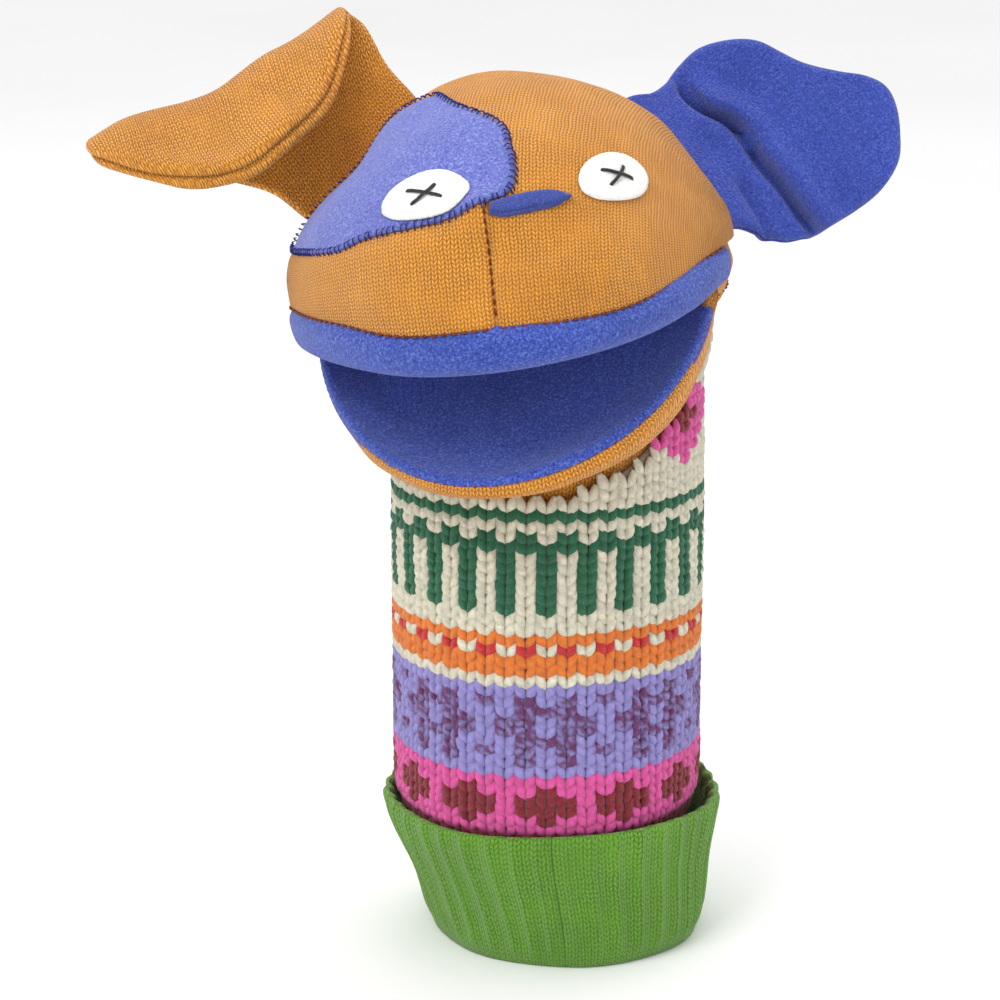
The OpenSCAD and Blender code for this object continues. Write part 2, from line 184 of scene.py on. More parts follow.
def tubes(paths, radius, sides=6, taper=0.45):
    """Round threads along several polylines, each with narrow ends."""
    points, faces, at = [], [], 0
    for path in paths:
        p = np.asarray(path, float)
        n = len(p)
        along = unit(np.gradient(p, axis=0))
        side = unit(np.cross(along, [0.31, 0.17, 0.93]))
        up = np.cross(side, along)
        size = radius * np.where((np.arange(n) == 0) | (np.arange(n) == n - 1), taper, 1.0)
        turn = 2 * np.pi * np.arange(sides) / sides
        ring = np.cos(turn)[None, :, None] * side[:, None] + np.sin(turn)[None, :, None] * up[:, None]
        points.append((p[:, None] + size[:, None, None] * ring).reshape(-1, 3))
        faces.append(grid_faces(n, sides, wrap_cols=True, start=at))
        at += n * sides
    ends, at = [], 0
    for path in paths:
        n = len(path)
        ends.append(np.arange(sides)[None, :] + at)
        ends.append(np.arange(sides)[None, ::-1] + at + (n - 1) * sides)
        at += n * sides
    return np.concatenate(points), [np.concatenate(faces), np.concatenate(ends)]


def sew(name, paths, radius, material, **shape):
    """One piece made of many short threads."""
    points, faces = tubes(paths, radius, **shape)
    return build(name, points, faces, material)


def place(piece, body, slot, *nodes):
    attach(piece, body)
    if nodes:
        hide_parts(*nodes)
    return piece


def place_between(piece, bodies, start, end, slot, *nodes):
    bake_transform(piece)
    if nodes:
        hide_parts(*nodes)
    return piece


# ---------------------------------------------------------------- materials
class Nodes:
    """A new material's nodes, with one short call for each kind that is used here."""

    def __init__(self, name):
        self.material = bpy.data.materials.new(name)
        self.material.use_nodes = True
        self.tree = self.material.node_tree
        self.shader = next(n for n in self.tree.nodes if n.type == "BSDF_PRINCIPLED")

    def put(self, socket, value):
        if hasattr(value, "is_output"):
            self.tree.links.new(value, socket)
        elif value is not None:
            socket.default_value = value

    def math(self, operation, a, b=None, clamp=False):
        n = self.tree.nodes.new("ShaderNodeMath")
        n.operation, n.use_clamp = operation, clamp
        self.put(n.inputs[0], a)
        self.put(n.inputs[1], b)
        return n.outputs[0]

    def times(self, a, b):
        return self.math("MULTIPLY", a, b)

    def minus(self, a, b):
        return self.math("SUBTRACT", a, b)

    def noise(self, scale, detail=2.0, rough=0.5, stretch=None):
        if not hasattr(self, "where"):
            self.where = self.tree.nodes.new("ShaderNodeTexCoord").outputs["Object"]
        where = self.where
        if stretch:
            m = self.tree.nodes.new("ShaderNodeMapping")
            m.inputs["Scale"].default_value = stretch
            self.put(m.inputs["Vector"], where)
            where = m.outputs[0]
        n = self.tree.nodes.new("ShaderNodeTexNoise")
        self.put(n.inputs["Vector"], where)
        n.inputs["Scale"].default_value = scale
        n.inputs["Detail"].default_value = detail
        n.inputs["Roughness"].default_value = rough
        return n.outputs["Fac"]

    def ramp(self, fac, low, high, a=0.0, b=1.0):
        n = self.tree.nodes.new("ShaderNodeMapRange")
        n.interpolation_type = "SMOOTHSTEP"
        self.put(n.inputs["Value"], fac)
        for key, v in (("From Min", low), ("From Max", high), ("To Min", a), ("To Max", b)):
            n.inputs[key].default_value = v
        return n.outputs["Result"]

    def mix(self, fac, a, b, kind="MIX"):
        n = self.tree.nodes.new("ShaderNodeMix")
        n.data_type, n.blend_type = "RGBA", kind
        self.put(n.inputs[0], fac)
        self.put(n.inputs[6], (*a, 1) if isinstance(a, tuple) else a)
        self.put(n.inputs[7], (*b, 1) if isinstance(b, tuple) else b)
        return n.outputs[2]

    def attribute(self, name):
        n = self.tree.nodes.new("ShaderNodeAttribute")
        n.attribute_name = name
        return n

    def bump(self, height, distance, strength=1.0, after=None):
        n = self.tree.nodes.new("ShaderNodeBump")
        n.inputs["Strength"].default_value = strength
        n.inputs["Distance"].default_value = distance
        self.put(n.inputs["Height"], height)
        if after is not None:
            self.put(n.inputs["Normal"], after)
        return n.outputs["Normal"]

    def finish(self, colour, normal, rough=0.92, sheen=0.25):
        self.put(self.shader.inputs["Base Color"], colour)
        self.put(self.shader.inputs["Normal"], normal)
        self.put(self.shader.inputs["Roughness"], rough)
        self.shader.inputs["Sheen Weight"].default_value = sheen
        self.shader.inputs["Sheen Roughness"].default_value = 0.45
        self.shader.inputs["Specular IOR Level"].default_value = 0.25
        return self.material


def stitch_height(m, felt):
    """Height of a fine knit, from the piece's own stitch coordinates. Felt, from 0 to 1, closes it up."""
    sep = m.tree.nodes.new("ShaderNodeSeparateXYZ")
    m.put(sep.inputs[0], m.attribute("knit").outputs["Vector"])
    wobble = m.times(m.minus(m.noise(210, 2), 0.5), 0.55)
    across = m.math("ABSOLUTE", m.minus(m.math("FRACT", m.math("ADD", sep.outputs[0], wobble)), 0.5))
    leg = m.times(m.math("SINE", m.times(across, 2 * math.pi)), m.ramp(across, 0.5, 0.3, 0.45, 1.0))
    row = m.math("FRACT", m.minus(m.math("ADD", sep.outputs[1], wobble), m.times(across, 1.5)))
    strand = m.math("SINE", m.times(row, math.pi))
    height = m.times(
        m.math("POWER", m.math("MAXIMUM", leg, 0.0), 0.6),
        m.math("POWER", m.math("MAXIMUM", strand, 0.0), 0.7),
)
    worn = m.ramp(m.noise(90, 2), 0.35, 0.75, felt, min(1.0, felt + 0.22))
    n = m.tree.nodes.new("ShaderNodeMix")
    n.data_type = "FLOAT"
    m.put(n.inputs[0], worn)
    m.put(n.inputs[2], height)
    m.put(n.inputs[3], 0.55)
    return n.outputs[0]


def knit_cloth(name, base, dark, light, felt=0.1, depth=0.0007, fleck=0.4, grain=2600):
    m = Nodes(name)
    height = stitch_height(m, felt)
    fuzz = m.noise(grain, 3, 0.65)
    broad = m.noise(38, 3, 0.6)
    # painted shade: the colour darkens to dark down in the stitch grooves, where shade falls
    colour = m.mix(m.ramp(height, 0.05, 0.7), dark, base)
    # painted highlight: the strand tops are lightened towards light
    colour = m.mix(m.ramp(height, 0.6, 1.0, 0.0, 0.5), colour, light)
    colour = m.mix(m.times(m.ramp(fuzz, 0.5, 0.78), fleck), colour, light)
    colour = m.mix(m.times(m.ramp(fuzz, 0.48, 0.22), fleck * 0.9), colour, dark)
    colour = m.mix(m.ramp(broad, 0.25, 0.8, 0.0, 0.22), colour, dark)
    normal = m.bump(height, depth)
    normal = m.bump(fuzz, 0.0003, 0.8, normal)
    return m.finish(colour, normal)


def boiled_wool(name, base, dark, light, grain=1300, fleck=0.75, depth=0.0006, rib=0.0):
    m = Nodes(name)
    curl = m.noise(grain, 4, 0.7)
    fine = m.noise(grain * 2.4, 2, 0.7)
    broad = m.noise(30, 3, 0.6)
    colour = m.mix(m.times(m.ramp(curl, 0.5, 0.66), fleck), base, light)
    colour = m.mix(m.times(m.ramp(curl, 0.49, 0.34), fleck), colour, dark)
    colour = m.mix(m.ramp(broad, 0.3, 0.8, 0.0, 0.25), colour, dark)
    normal = m.bump(curl, depth)
    if rib:
        height = stitch_height(m, 0.45)
        # painted shade: by the amount rib, the colour darkens to dark down in the stitch grooves
        colour = m.mix(m.ramp(height, 0.35, 0.0, 0.0, rib), colour, dark)
        normal = m.bump(height, 0.0004, 1.0, normal)
    normal = m.bump(fine, 0.0002, 0.6, normal)
    return m.finish(colour, normal)


def dyed_yarn(name):
    m = Nodes(name)
    # the colour attribute: the stitch yarn colours, and on the knit's back shell those colours with painted
    # shade
    dye_and_shade = m.attribute("dye_and_shade").outputs["Color"]
    hair = m.noise(1500, 4, 0.75)
    fine = m.noise(3800, 2, 0.7)
    shade = m.mix(1.0, dye_and_shade, (0.42, 0.40, 0.38), "MULTIPLY")
    pale = m.mix(0.35, dye_and_shade, (1.0, 0.98, 0.95))
    colour = m.mix(m.ramp(hair, 0.47, 0.28, 0.0, 0.75), dye_and_shade, shade)
    colour = m.mix(m.ramp(fine, 0.55, 0.8, 0.0, 0.6), colour, pale)
    normal = m.bump(hair, 0.0006)
    normal = m.bump(fine, 0.0003, 0.8, normal)
    return m.finish(colour, normal, sheen=0.3)


def thread(name, base, dark):
    m = Nodes(name)
    ply = m.noise(2200, 2, 0.6)
    colour = m.mix(m.ramp(ply, 0.4, 0.62), dark, base)
    return m.finish(colour, m.bump(ply, 0.0002), rough=0.7, sheen=0.1)


def stiff_board(name, base, dark):
    m = Nodes(name)
    pulp = m.noise(420, 5, 0.7)
    streak = m.noise(60, 3, 0.6, stretch=(1, 9, 1))
    colour = m.mix(m.ramp(pulp, 0.35, 0.7), dark, base)
    colour = m.mix(m.ramp(streak, 0.4, 0.75, 0.0, 0.3), colour, dark)
    return m.finish(colour, m.bump(pulp, 0.0002), rough=0.85, sheen=0.0)


mustard_knit = knit_cloth("mustard_knit", srgb(240, 162, 46), srgb(176, 92, 12), srgb(255, 206, 104))
blue_wool = boiled_wool("royal_boiled_wool", srgb(58, 82, 176), srgb(22, 34, 104), srgb(122, 142, 216))
# rib=0.55 gives the rib bump and also painted shade in the stitch grooves
blue_knit = boiled_wool(
    "royal_boiled_knit", srgb(56, 78, 178), srgb(20, 30, 104), srgb(112, 130, 212), fleck=0.5, rib=0.55
)
patch_wool = boiled_wool(
    "periwinkle_boiled_wool", srgb(104, 114, 196), srgb(58, 66, 148), srgb(168, 176, 226), fleck=0.7
)
green_rib = knit_cloth(
    "grass_rib_knit", srgb(104, 158, 42), srgb(44, 92, 14), srgb(152, 196, 88), felt=0.38, depth=0.0006,
    fleck=0.6, grain=1900,
)
nose_wool = boiled_wool(
    "nose_satin_stitch", srgb(62, 80, 168), srgb(26, 36, 108), srgb(104, 122, 200), grain=1900, fleck=0.6
)
white_felt = boiled_wool(
    "white_felt", srgb(243, 243, 238), srgb(196, 196, 190), srgb(255, 255, 253), grain=900, fleck=0.5,
    depth=0.0005,
)
yarn = dyed_yarn("sleeve_yarn")
rust_thread = thread("rust_thread", srgb(148, 62, 22), srgb(84, 28, 8))
navy_thread = thread("navy_thread", srgb(40, 54, 150), srgb(16, 22, 84))
charcoal_thread = thread("charcoal_thread", srgb(58, 62, 66), srgb(22, 24, 28))
card = stiff_board("stiff_board", srgb(188, 168, 130), srgb(132, 112, 78))

# ---------------------------------------------------------------- the frame's own facts
neck = joint_at("head_nod")
side_axis = joint_axis("head_nod")
back_axis = unit(np.cross([0, 0, 1], side_axis))
HEAD = np.stack([side_axis, back_axis, np.cross(side_axis, back_axis)])


def from_head(p):
    """A point of the head's own frame, square to the face and centred on the neck, in the row frame."""
    return (np.asarray(p, float) - neck) @ HEAD + neck


def to_head(p):
    return (np.asarray(p, float) - neck) @ HEAD.T + neck


crown = to_head(node_points("crown_panel"))
lip_z = crown[:, 2].min()
dome_size = np.array([np.ptp(crown[:, 0]) / 2, np.ptp(crown[:, 1]) / 2, np.ptp(crown[:, 2])])
dome_middle = np.array([*(crown[:, :2].min(0) + crown[:, :2].max(0)) / 2, lip_z])
fold = to_head(joint_at("jaw_open"))
mouth_half = math.degrees(math.acos((dome_middle[1] - fold[1] + 0.5) / dome_size[1]))

floor_points = node_points("mouth_floor_lining")
floor_normal = np.linalg.svd(floor_points - floor_points.mean(0), full_matrices=False)[2][2]
floor_normal = floor_normal * np.sign(floor_normal[2])
JAW = np.stack([side_axis, np.cross(side_axis, floor_normal), floor_normal])


def from_jaw(p):
    """A point of the jaw's frame: it starts at the mouth fold, Y runs forward along the floor and Z up."""
    return joint_at("jaw_open") + np.asarray(p, float) @ JAW


def in_jaw(p):
    return (np.asarray(p, float) - joint_at("jaw_open")) @ JAW.T


if in_jaw(floor_points)[:, 1].mean() < 0:
    JAW[1] = -JAW[1]

sleeve_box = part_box("sleeve_lower")
sleeve_r = sleeve_box[1][0] / MM
cuff_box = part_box("ribbed_cuff")
cuff_h = cuff_box[1][2] / MM - 1
cuff_points = node_points("ribbed_cuff")
cuff_radius = np.hypot(cuff_points[:, 0], cuff_points[:, 1])
arm_r = cuff_radius.min()
cuff_top_r = cuff_radius.max()
ball_points = node_points("sleeve_upper")
ball_r = np.linalg.norm(ball_points - neck, axis=1)[ball_points[:, 2] > neck[2]].max()


# ---------------------------------------------------------------- camera, floor and light
def look(obj, at):
    obj.rotation_mode = "QUATERNION"
    obj.rotation_quaternion = (Vector(at) - obj.location).to_track_quat("-Z", "Y")


scene = bpy.context.scene
elevation, distance, across = math.radians(14.5), 1.15, 0.32
target = Vector((0.0, 0.0, sleeve_box[1][2]))
camera = bpy.data.objects.new("camera", bpy.data.cameras.new("camera"))
scene.collection.objects.link(camera)
camera.location = target + distance * Vector((0, -math.cos(elevation), math.sin(elevation)))
camera.data.sensor_width = 36
camera.data.lens = 36 * distance / across
camera.data.clip_start = 0.05
look(camera, target + Vector((-0.0150, 0, -0.0072)))
scene.camera = camera

scene.view_settings.view_transform = "Standard"
world = bpy.data.worlds.new("studio")
world.use_nodes = True
world.node_tree.nodes["Background"].inputs[0].default_value = (1.0, 1.0, 1.0, 1)
world.node_tree.nodes["Background"].inputs[1].default_value = 0.91
scene.world = world

backdrop = Nodes("pale_floor")
cloudy = backdrop.ramp(backdrop.noise(3, 2), 0.3, 0.7, 0.0, 1.0)
backdrop.finish(backdrop.mix(cloudy, srgb(250, 250, 250), srgb(247, 247, 247)), None, rough=0.9, sheen=0.0)
edge_turn = 2 * np.pi * np.arange(64) / 64
floor_rim = np.stack([9000 * np.cos(edge_turn), 9000 * np.sin(edge_turn), np.full(64, -0.2)], 1)
studio_floor = build("studio_floor", floor_rim, [np.arange(64)[None, :]], backdrop.material, outward=False)


def soft_light(name, at, size, power, aim=(0, 0, 0.16), tint=(1, 1, 1)):
    data = bpy.data.lights.new(name, "AREA")
    data.size, data.energy, data.color = size, power, tint
    lamp = bpy.data.objects.new(name, data)
    scene.collection.objects.link(lamp)
    lamp.location = at
    look(lamp, aim)


soft_light("key", (-0.65, -0.95, 1.4), 0.7, 12.0)
soft_light("fill", (1.3, -0.9, 0.6), 1.2, 2.0)
soft_light("top", (0.1, 0.3, 1.5), 1.0, 6.0)

# ---------------------------------------------------------------- sleeve
STITCHES = 48
ROW = 3.3
RINGS = SIDES = 6
CREAM, ORANGE, RED = srgb(228, 223, 200), srgb(236, 126, 36), srgb(206, 38, 40)
PINK, WINE, LAVENDER = srgb(230, 84, 164), srgb(134, 16, 36), srgb(152, 142, 210)
PLUM, PINE = srgb(108, 48, 108), srgb(20, 102, 66)


def yarn_colour(column, row):
    """The colour of one stitch: rows are counted from the top of the cuff, columns from the front. The rows
    at and under the cuff's top are wine-dark.
    """
    column, row = int(column), int(row)

    def near(period):
        return abs((column + period // 2) % period - period // 2)

    # rows at and under the cuff's top are wine-dark
    if row <= 0:
        return WINE
    if row <= 6:
        c = near(4)
        return WINE if (c == 0 and 2 <= row <= 5) or (c == 1 and 3 <= row <= 4) else PINK
    if row <= 15:
        c, r = near(6), row - 7
        spots = {0: (3, 6), 1: (1, 2, 3, 4, 5, 6, 7), 2: (4, 5), 3: (2, 7)}
        return PLUM if r in spots[c] else LAVENDER
    if row in (17, 18, 20):
        return ORANGE
    if row == 19:
        return CREAM if column % 2 == 0 else RED
    if 23 <= row <= 28:
        return PINE if column % 2 == 0 else CREAM
    if row == 29 or row == 32:
        return PINE
    if row == 30:
        return CREAM if column % 2 == 0 else PINE
    if row >= 36:
        c = near(8) + abs(row - 40)
        return WINE if c <= 1 else PINK if c <= 4 else CREAM
    return CREAM


def sleeve_radius(z):
    """Middle of the knit's thickness at height z: tucked into the cuff below, rounded into the neck above."""
    z = np.asarray(z, float)
    ball = np.sqrt(np.maximum(ball_r**2 - (z - neck[2]) ** 2, 0))
    straight = sleeve_r - 3.2 * smooth(z, cuff_h + 6, cuff_h - 8)
    return np.where(z > neck[2] - 18, np.maximum(straight, np.minimum(ball, ball_r)), straight) - 1.9


def around(azimuth, radius, z):
    """Azimuth 0 faces the front, and grows towards +X."""
    azimuth = np.asarray(azimuth, float)
    wave = 0.5 * np.sin(3 * azimuth + z / 31) + 0.4 * np.sin(5 * azimuth - z / 23 + 1)
    r = radius + wave
    return np.stack([r * np.sin(azimuth), -r * np.cos(azimuth), z + 0 * azimuth], -1)


# The sleeve's slanting front edge, from the CAD piece: the plane under the jaw
front = ball_points[(ball_points @ back_axis) < -0.9 * sleeve_r]
notch_low = front[:, 2].max()
notch_slope = math.tan(math.radians(38))


def notch_at(p):
    """Height of the front edge over a point."""
    return notch_low + notch_slope * (p @ back_axis + sleeve_r)


def yarn_stitches(name, rows):
    legs, dyes = [], []
    t = np.linspace(0, 1, RINGS)
    turn = 2 * np.pi * np.arange(SIDES) / SIDES
    wide = 2 * np.pi * sleeve_r / STITCHES
    for row in rows:
        z0 = cuff_h + (row - 0.5) * ROW
        for column in range(STITCHES):
            mid = 2 * np.pi * (column + rng.normal() * 0.02) / STITCHES
            spot = around(mid, sleeve_radius(z0), z0)
            if z0 > notch_at(spot) - 1.6 or z0 > neck[2] + 16:
                continue
            dye_and_shade = np.array(yarn_colour(column, row))
            for hand in (-1, 1):
                jig = rng.normal(size=3) * [0.12, 0.12, 0.1]
                u = hand * wide * (0.05 + 0.40 * t**0.85) + jig[0]
                z = z0 + ROW * (-0.75 + 1.75 * t) + jig[1]
                lift = 1.15 * np.sin(np.pi * np.clip(t * 0.92 + 0.06, 0, 1)) ** 0.8 - 0.9 + jig[2]
                r = sleeve_radius(z) + lift
                along = unit(np.stack([np.gradient(u), np.gradient(z)], 1))
                cross = np.stack([along[:, 1], -along[:, 0]], 1)
                half_w = np.array([0.75, 1.45, 1.72, 1.75, 1.45, 0.8]) * (1 + rng.normal() * 0.05)
                half_t = np.array([0.7, 1.15, 1.35, 1.35, 1.1, 0.7])
                uu = u[:, None] + half_w[:, None] * np.cos(turn) * cross[:, :1]
                zz = z[:, None] + half_w[:, None] * np.cos(turn) * cross[:, 1:]
                rr = r[:, None] + half_t[:, None] * np.sin(turn)
                legs.append(around(mid + uu / sleeve_r, rr, zz).reshape(-1, 3))
                dyes.append(np.repeat(dye_and_shade[None], RINGS * SIDES, 0))
    points, colour = np.concatenate(legs), np.concatenate(dyes)
    points = points + unit(points * [1, 1, 0]) * (lumps(points, 1.7, 3)[:, None] * 0.12)
    heather = rng.uniform(size=(len(points), 1))
    plum = (np.abs(colour - PLUM).sum(1, keepdims=True) < 1e-6)
    colour = np.where(plum & (heather < 0.38), np.array(LAVENDER) * 0.8, colour)
    colour = np.clip(colour * (1 + rng.normal(size=(len(points), 1)) * 0.10), 0, 1)
    first = RINGS * SIDES * np.arange(len(legs))[:, None]
    faces = (grid_faces(RINGS, SIDES, wrap_cols=True)[None] + first[:, :, None]).reshape(-1, 4)
    last_ring = RINGS * SIDES - 1 - np.arange(SIDES)
    caps = np.concatenate([np.arange(SIDES) + first, last_ring + first])
    return build(name, points, [faces, caps], yarn, colour=colour, outward=False)


turn_start, turn_end = (0, 0, cuff_h + 14), (0, 0, neck[2] - 20)
knit_low = yarn_stitches("sleeve_knit_lower", range(-1, 22))
knit_high = yarn_stitches("sleeve_knit_upper", range(22, 54))
place_between(knit_low, ("sleeve", "neck"), turn_start, turn_end, "patterned_knit", "sleeve_lower")
place_between(knit_high, ("sleeve", "neck"), turn_start, turn_end, "patterned_knit", "sleeve_upper")


def sleeve_back():
    """The back of the knit, behind the stitches: a closed shell that follows the same rows and edge. Its
    colour is the stitch colours with painted shade, darker behind the stitches and inside the sleeve.
    """
    cols, rows = 192, 90
    a = 2 * np.pi * np.arange(cols) / cols
    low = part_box("sleeve_lower")[0][2] / MM + 2
    out = []
    dye_and_shade = []
    for k in range(2 * rows):
        up = k if k < rows else 2 * rows - 1 - k
        inner = k >= rows
        spot = around(a, np.full(cols, sleeve_r), 0 * a)
        top = np.minimum(notch_low + notch_slope * (spot @ back_axis + sleeve_r), neck[2] + 17) - 1.0
        z = low + (top - low) * up / (rows - 1)
        foot = smooth(z, cuff_h + 2, cuff_h - 18)
        r = sleeve_radius(z) - 1.0 - (2.7 if inner else 0) - 3.3 * foot
        end = np.minimum(up, rows - 1 - up) == 0
        r = r + (0.5 if inner and end else -0.5 if end else 0)
        r = r + (0.25 * np.cos(2 * np.pi * (z - cuff_h) / ROW) if inner else 0)
        out.append(around(a, r, z))
        shade = [yarn_colour(round(c * STITCHES / cols), round((z[c] - cuff_h) / ROW)) for c in range(cols)]
        # painted shade: the shell takes the stitch colours darkened to 0.55 on its outer face, behind the
        # stitches, and to 0.8 on its inner face inside the sleeve
        dye_and_shade.append(np.array(shade) * (0.8 if inner else 0.55))
    faces = grid_faces(2 * rows, cols, wrap_rows=True, wrap_cols=True)
    return build(
        "sleeve_knit_back", np.concatenate(out), faces, yarn, colour=np.concatenate(dye_and_shade), outward=False
)


place_between(sleeve_back(), ("sleeve", "neck"), turn_start, turn_end, "patterned_knit")

# ---------------------------------------------------------------- cuff
RIBS = 40


def cuff_lean(z):
    """The soft cuff has slumped towards +X, most at its foot."""
    return 2.0 + 4.5 * smooth(z, cuff_h, 2)


def cuff_mesh():
    cols, n = 720, 90
    fold_r = arm_r + 5.6
    section = spline([
        (arm_r + 0.6, 28), (arm_r + 0.3, 16), (arm_r + 0.2, 5), (arm_r + 1.4, 1.3), (arm_r + 3.6, 0.1), (
            fold_r - 1.0, 1.5
),
        (fold_r + 0.8, 6), (fold_r + 2.6, 14), (fold_r + 4.8, 25), (cuff_top_r - 2.0, 36), (
            cuff_top_r - 0.3, cuff_h - 2
),
        (
            cuff_top_r - 0.9, cuff_h + 0.9
), (cuff_top_r - 2.6, cuff_h + 0.4), (cuff_top_r - 3.5, cuff_h - 4), (fold_r + 2.6, 30),
        (fold_r - 0.3, 16), (
            fold_r - 1.4, 7.0
), (fold_r - 2.2, 5.2), (arm_r + 3.0, 8), (arm_r + 2.9, 16), (arm_r + 2.9, 28),
        (arm_r + 1.9, 29.6)], n, closed=True)
    step = np.diff(np.concatenate([section, section[:1]]), axis=0)
    run = np.concatenate([[0], np.cumsum(np.linalg.norm(step, axis=1))])[:n]
    normal = unit(np.stack([-np.roll(step[:, 1], 1) - step[:, 1], np.roll(step[:, 0], 1) + step[:, 0]], 1))
    a = 2 * np.pi * np.arange(cols) / cols
    warp = a + 0.010 * np.sin(5 * a + 1) + 0.006 * np.sin(11 * a + 2)
    rib = np.abs(np.cos(warp * RIBS / 2)) ** 0.75 - 0.62
    outer = (np.arange(n) >= 4) & (np.arange(n) <= 52)
    points, knit = [], []
    for k in range(n):
        r, z = section[k]
        share = smooth(z, 1, 9) if outer[k] else 0.55
        lift = (1.5 if outer[k] else 0.7) * rib * share
        sway = 0.5 * np.sin(2 * a + z / 14) + 0.35 * np.sin(7 * a + z / 9)
        rr = r + np.sign(
            normal[k][0] if abs(normal[k][0]) > 0.2 else 1
) * lift * (1 if outer[k] else -1) + sway
        lean = cuff_lean(z)
        dip = (0.7 * np.sin(3 * a + 0.5) + 0.5 * rib) * smooth(z, cuff_h - 10, cuff_h)
        points.append(np.stack([rr * np.sin(a) + lean, -rr * np.cos(a), z + dip], 1))
        knit.append(np.stack([a * sleeve_r / 2.3, np.full(cols, run[k] / 1.8)], 1))
    points, knit = np.concatenate(points), np.concatenate(knit)
    faces = grid_faces(n, cols, wrap_rows=True, wrap_cols=True)
    return build("cuff_ribbing", points, faces, green_rib, knit=knit, outward=False)


place(cuff_mesh(), "sleeve", "green_rib", "ribbed_cuff")


def join_stitches():
    """The running thread that holds the sleeve's foot to the cuff, between the cuff's two layers."""
    ring = node_points("cuff_join_thread")
    radius, height = np.hypot(ring[:, 0], ring[:, 1]).mean(), ring[:, 2].mean()
    paths = []
    pitch = 2 * np.pi / 72
    for a in np.arange(0, 2 * np.pi, pitch):
        t = a + np.linspace(0, pitch * 0.72, 6)
        rise = 0.35 * np.sin(np.pi * np.linspace(0, 1, 6))
        paths.append(
            np.stack([radius * np.sin(t) + cuff_lean(height), -radius * np.cos(t), height + rise], 1)
)
    return sew("cuff_join_stitches", paths, 0.5, rust_thread)


place(join_stitches(), "sleeve", "seam_thread", "cuff_join_thread")

# ---------------------------------------------------------------- head
def dome_base(az, el):
    az, el = np.radians(az), np.radians(el)
    u = np.stack([np.sin(az) * np.cos(el), -np.cos(az) * np.cos(el), np.sin(el)], -1)
    return dome_middle + u * dome_size, unit(u / dome_size)


# The eye patch's outline: azimuth and elevation on the head, in degrees
patch_edge = [
    (-76, 19), (-82, 30), (-86, 44), (-84, 58), (-66, 69), (-36, 74), (11, 60), (17, 48), (15, 37), (7, 33),
    (-4, 30), (-27, 26), (-39, 22), (-56, 20),
]


def az_el_of(name):
    """Where a CAD trim's middle lies on the head."""
    p = to_head(node_points(name)).mean(0)
    u = unit((p - dome_middle) / dome_size)
    return math.degrees(math.atan2(u[0], -u[1])), math.degrees(math.asin(u[2]))


dart_az = az_el_of("muzzle_dart_seam")[0]
dart_x = dome_base(dart_az, 8.0)[0][0]
LIP_AZ = [-180, -120, -80, -60, -40, -20, 6, 25, 42, 60, 80, 110, 180]
LIP_RISE = [0, 0, 3.0, 4.6, 4.6, 0.8, 1.4, 0.0, 0.0, 3.6, 8.0, 3.0, 0]
RIM_RISE = [0, 0, 1.0, 1.0, 0.5, -2.0, -2.6, -2.0, -1.0, 1.5, 5.0, 2.0, 0]


def eased(az, values):
    """Values given at LIP_AZ, rounded off between them."""
    az = np.asarray(az, float)
    return sum(np.interp(az + d, LIP_AZ, values) for d in (-9, -4.5, 0, 4.5, 9)) / 5


def lip_rise(az):
    """How far the seam between the crown and the mouth's rim rises above the plain outline."""
    return eased(az, LIP_RISE)


def rim_rise(az):
    return eased(az, RIM_RISE)


def relief(az, el, p):
    """How far the soft head stands out of its plain oval."""
    x = p[..., 0] - dart_x
    ahead = smooth(np.cos(np.radians(az - dart_az)), 0.1, 0.5)
    below = smooth(el, 36, 31)
    dart = -1.5 * bell(x, 0, 1.2) * below * ahead
    valley = -3.2 * bell(x, 0, 11) * bell(el, 16, 12) * ahead
    peak = 3.2 * bell(x, -3, 6) * bell(el, 32, 5) * ahead
    puffs = 2.4 * (bell(x, -30, 17) + 0.8 * bell(x, 28, 15)) * bell(el, 12, 12) * ahead
    dent = -3.0 * bell(x, 20, 10) * bell(el, 22, 8) * ahead
    brow = np.interp(az, [-76, -56, -39, -27, -4, 7, 16], [19, 20, 22, 26, 30, 33, 35])
    ridge = 1.6 * bell(el, brow - 4, 4.5) * smooth(az, -84, -66) * smooth(az, 14, 2)
    cheek = 2.0 * bell(az, 86, 12) * bell(el, 4, 12) + 2.0 * bell(az, -80, 14) * bell(el, 6, 12)
    flats = -8.0 * bell(az, -88, 38) * bell(el, 46, 17) - 2.5 * bell(az, 72, 16) * bell(el, 26, 10)
    return dart + valley + peak + puffs + dent + ridge + cheek + flats + 0.8 * lumps(
        p, 42, 5
) + 0.25 * lumps(p, 14, 6)


def skin(az, el, off=0.0):
    """A point on the head's knit, `off` outside it, in the head's frame."""
    p, n = dome_base(az, el)
    return p + n * (relief(az, el, p) + off)[..., None]


def head_knit(p):
    """Stitch coordinates that run from the front lip over the top to the back."""
    q = (p - dome_middle) / dome_size
    u = dome_size[0] * np.arcsin(np.clip(q[..., 0] * 0.97, -1, 1)) / 2.05
    v = dome_size[2] * 1.15 * np.arctan2(q[..., 2], -q[..., 1]) / 1.55
    return np.stack([u, v], -1)


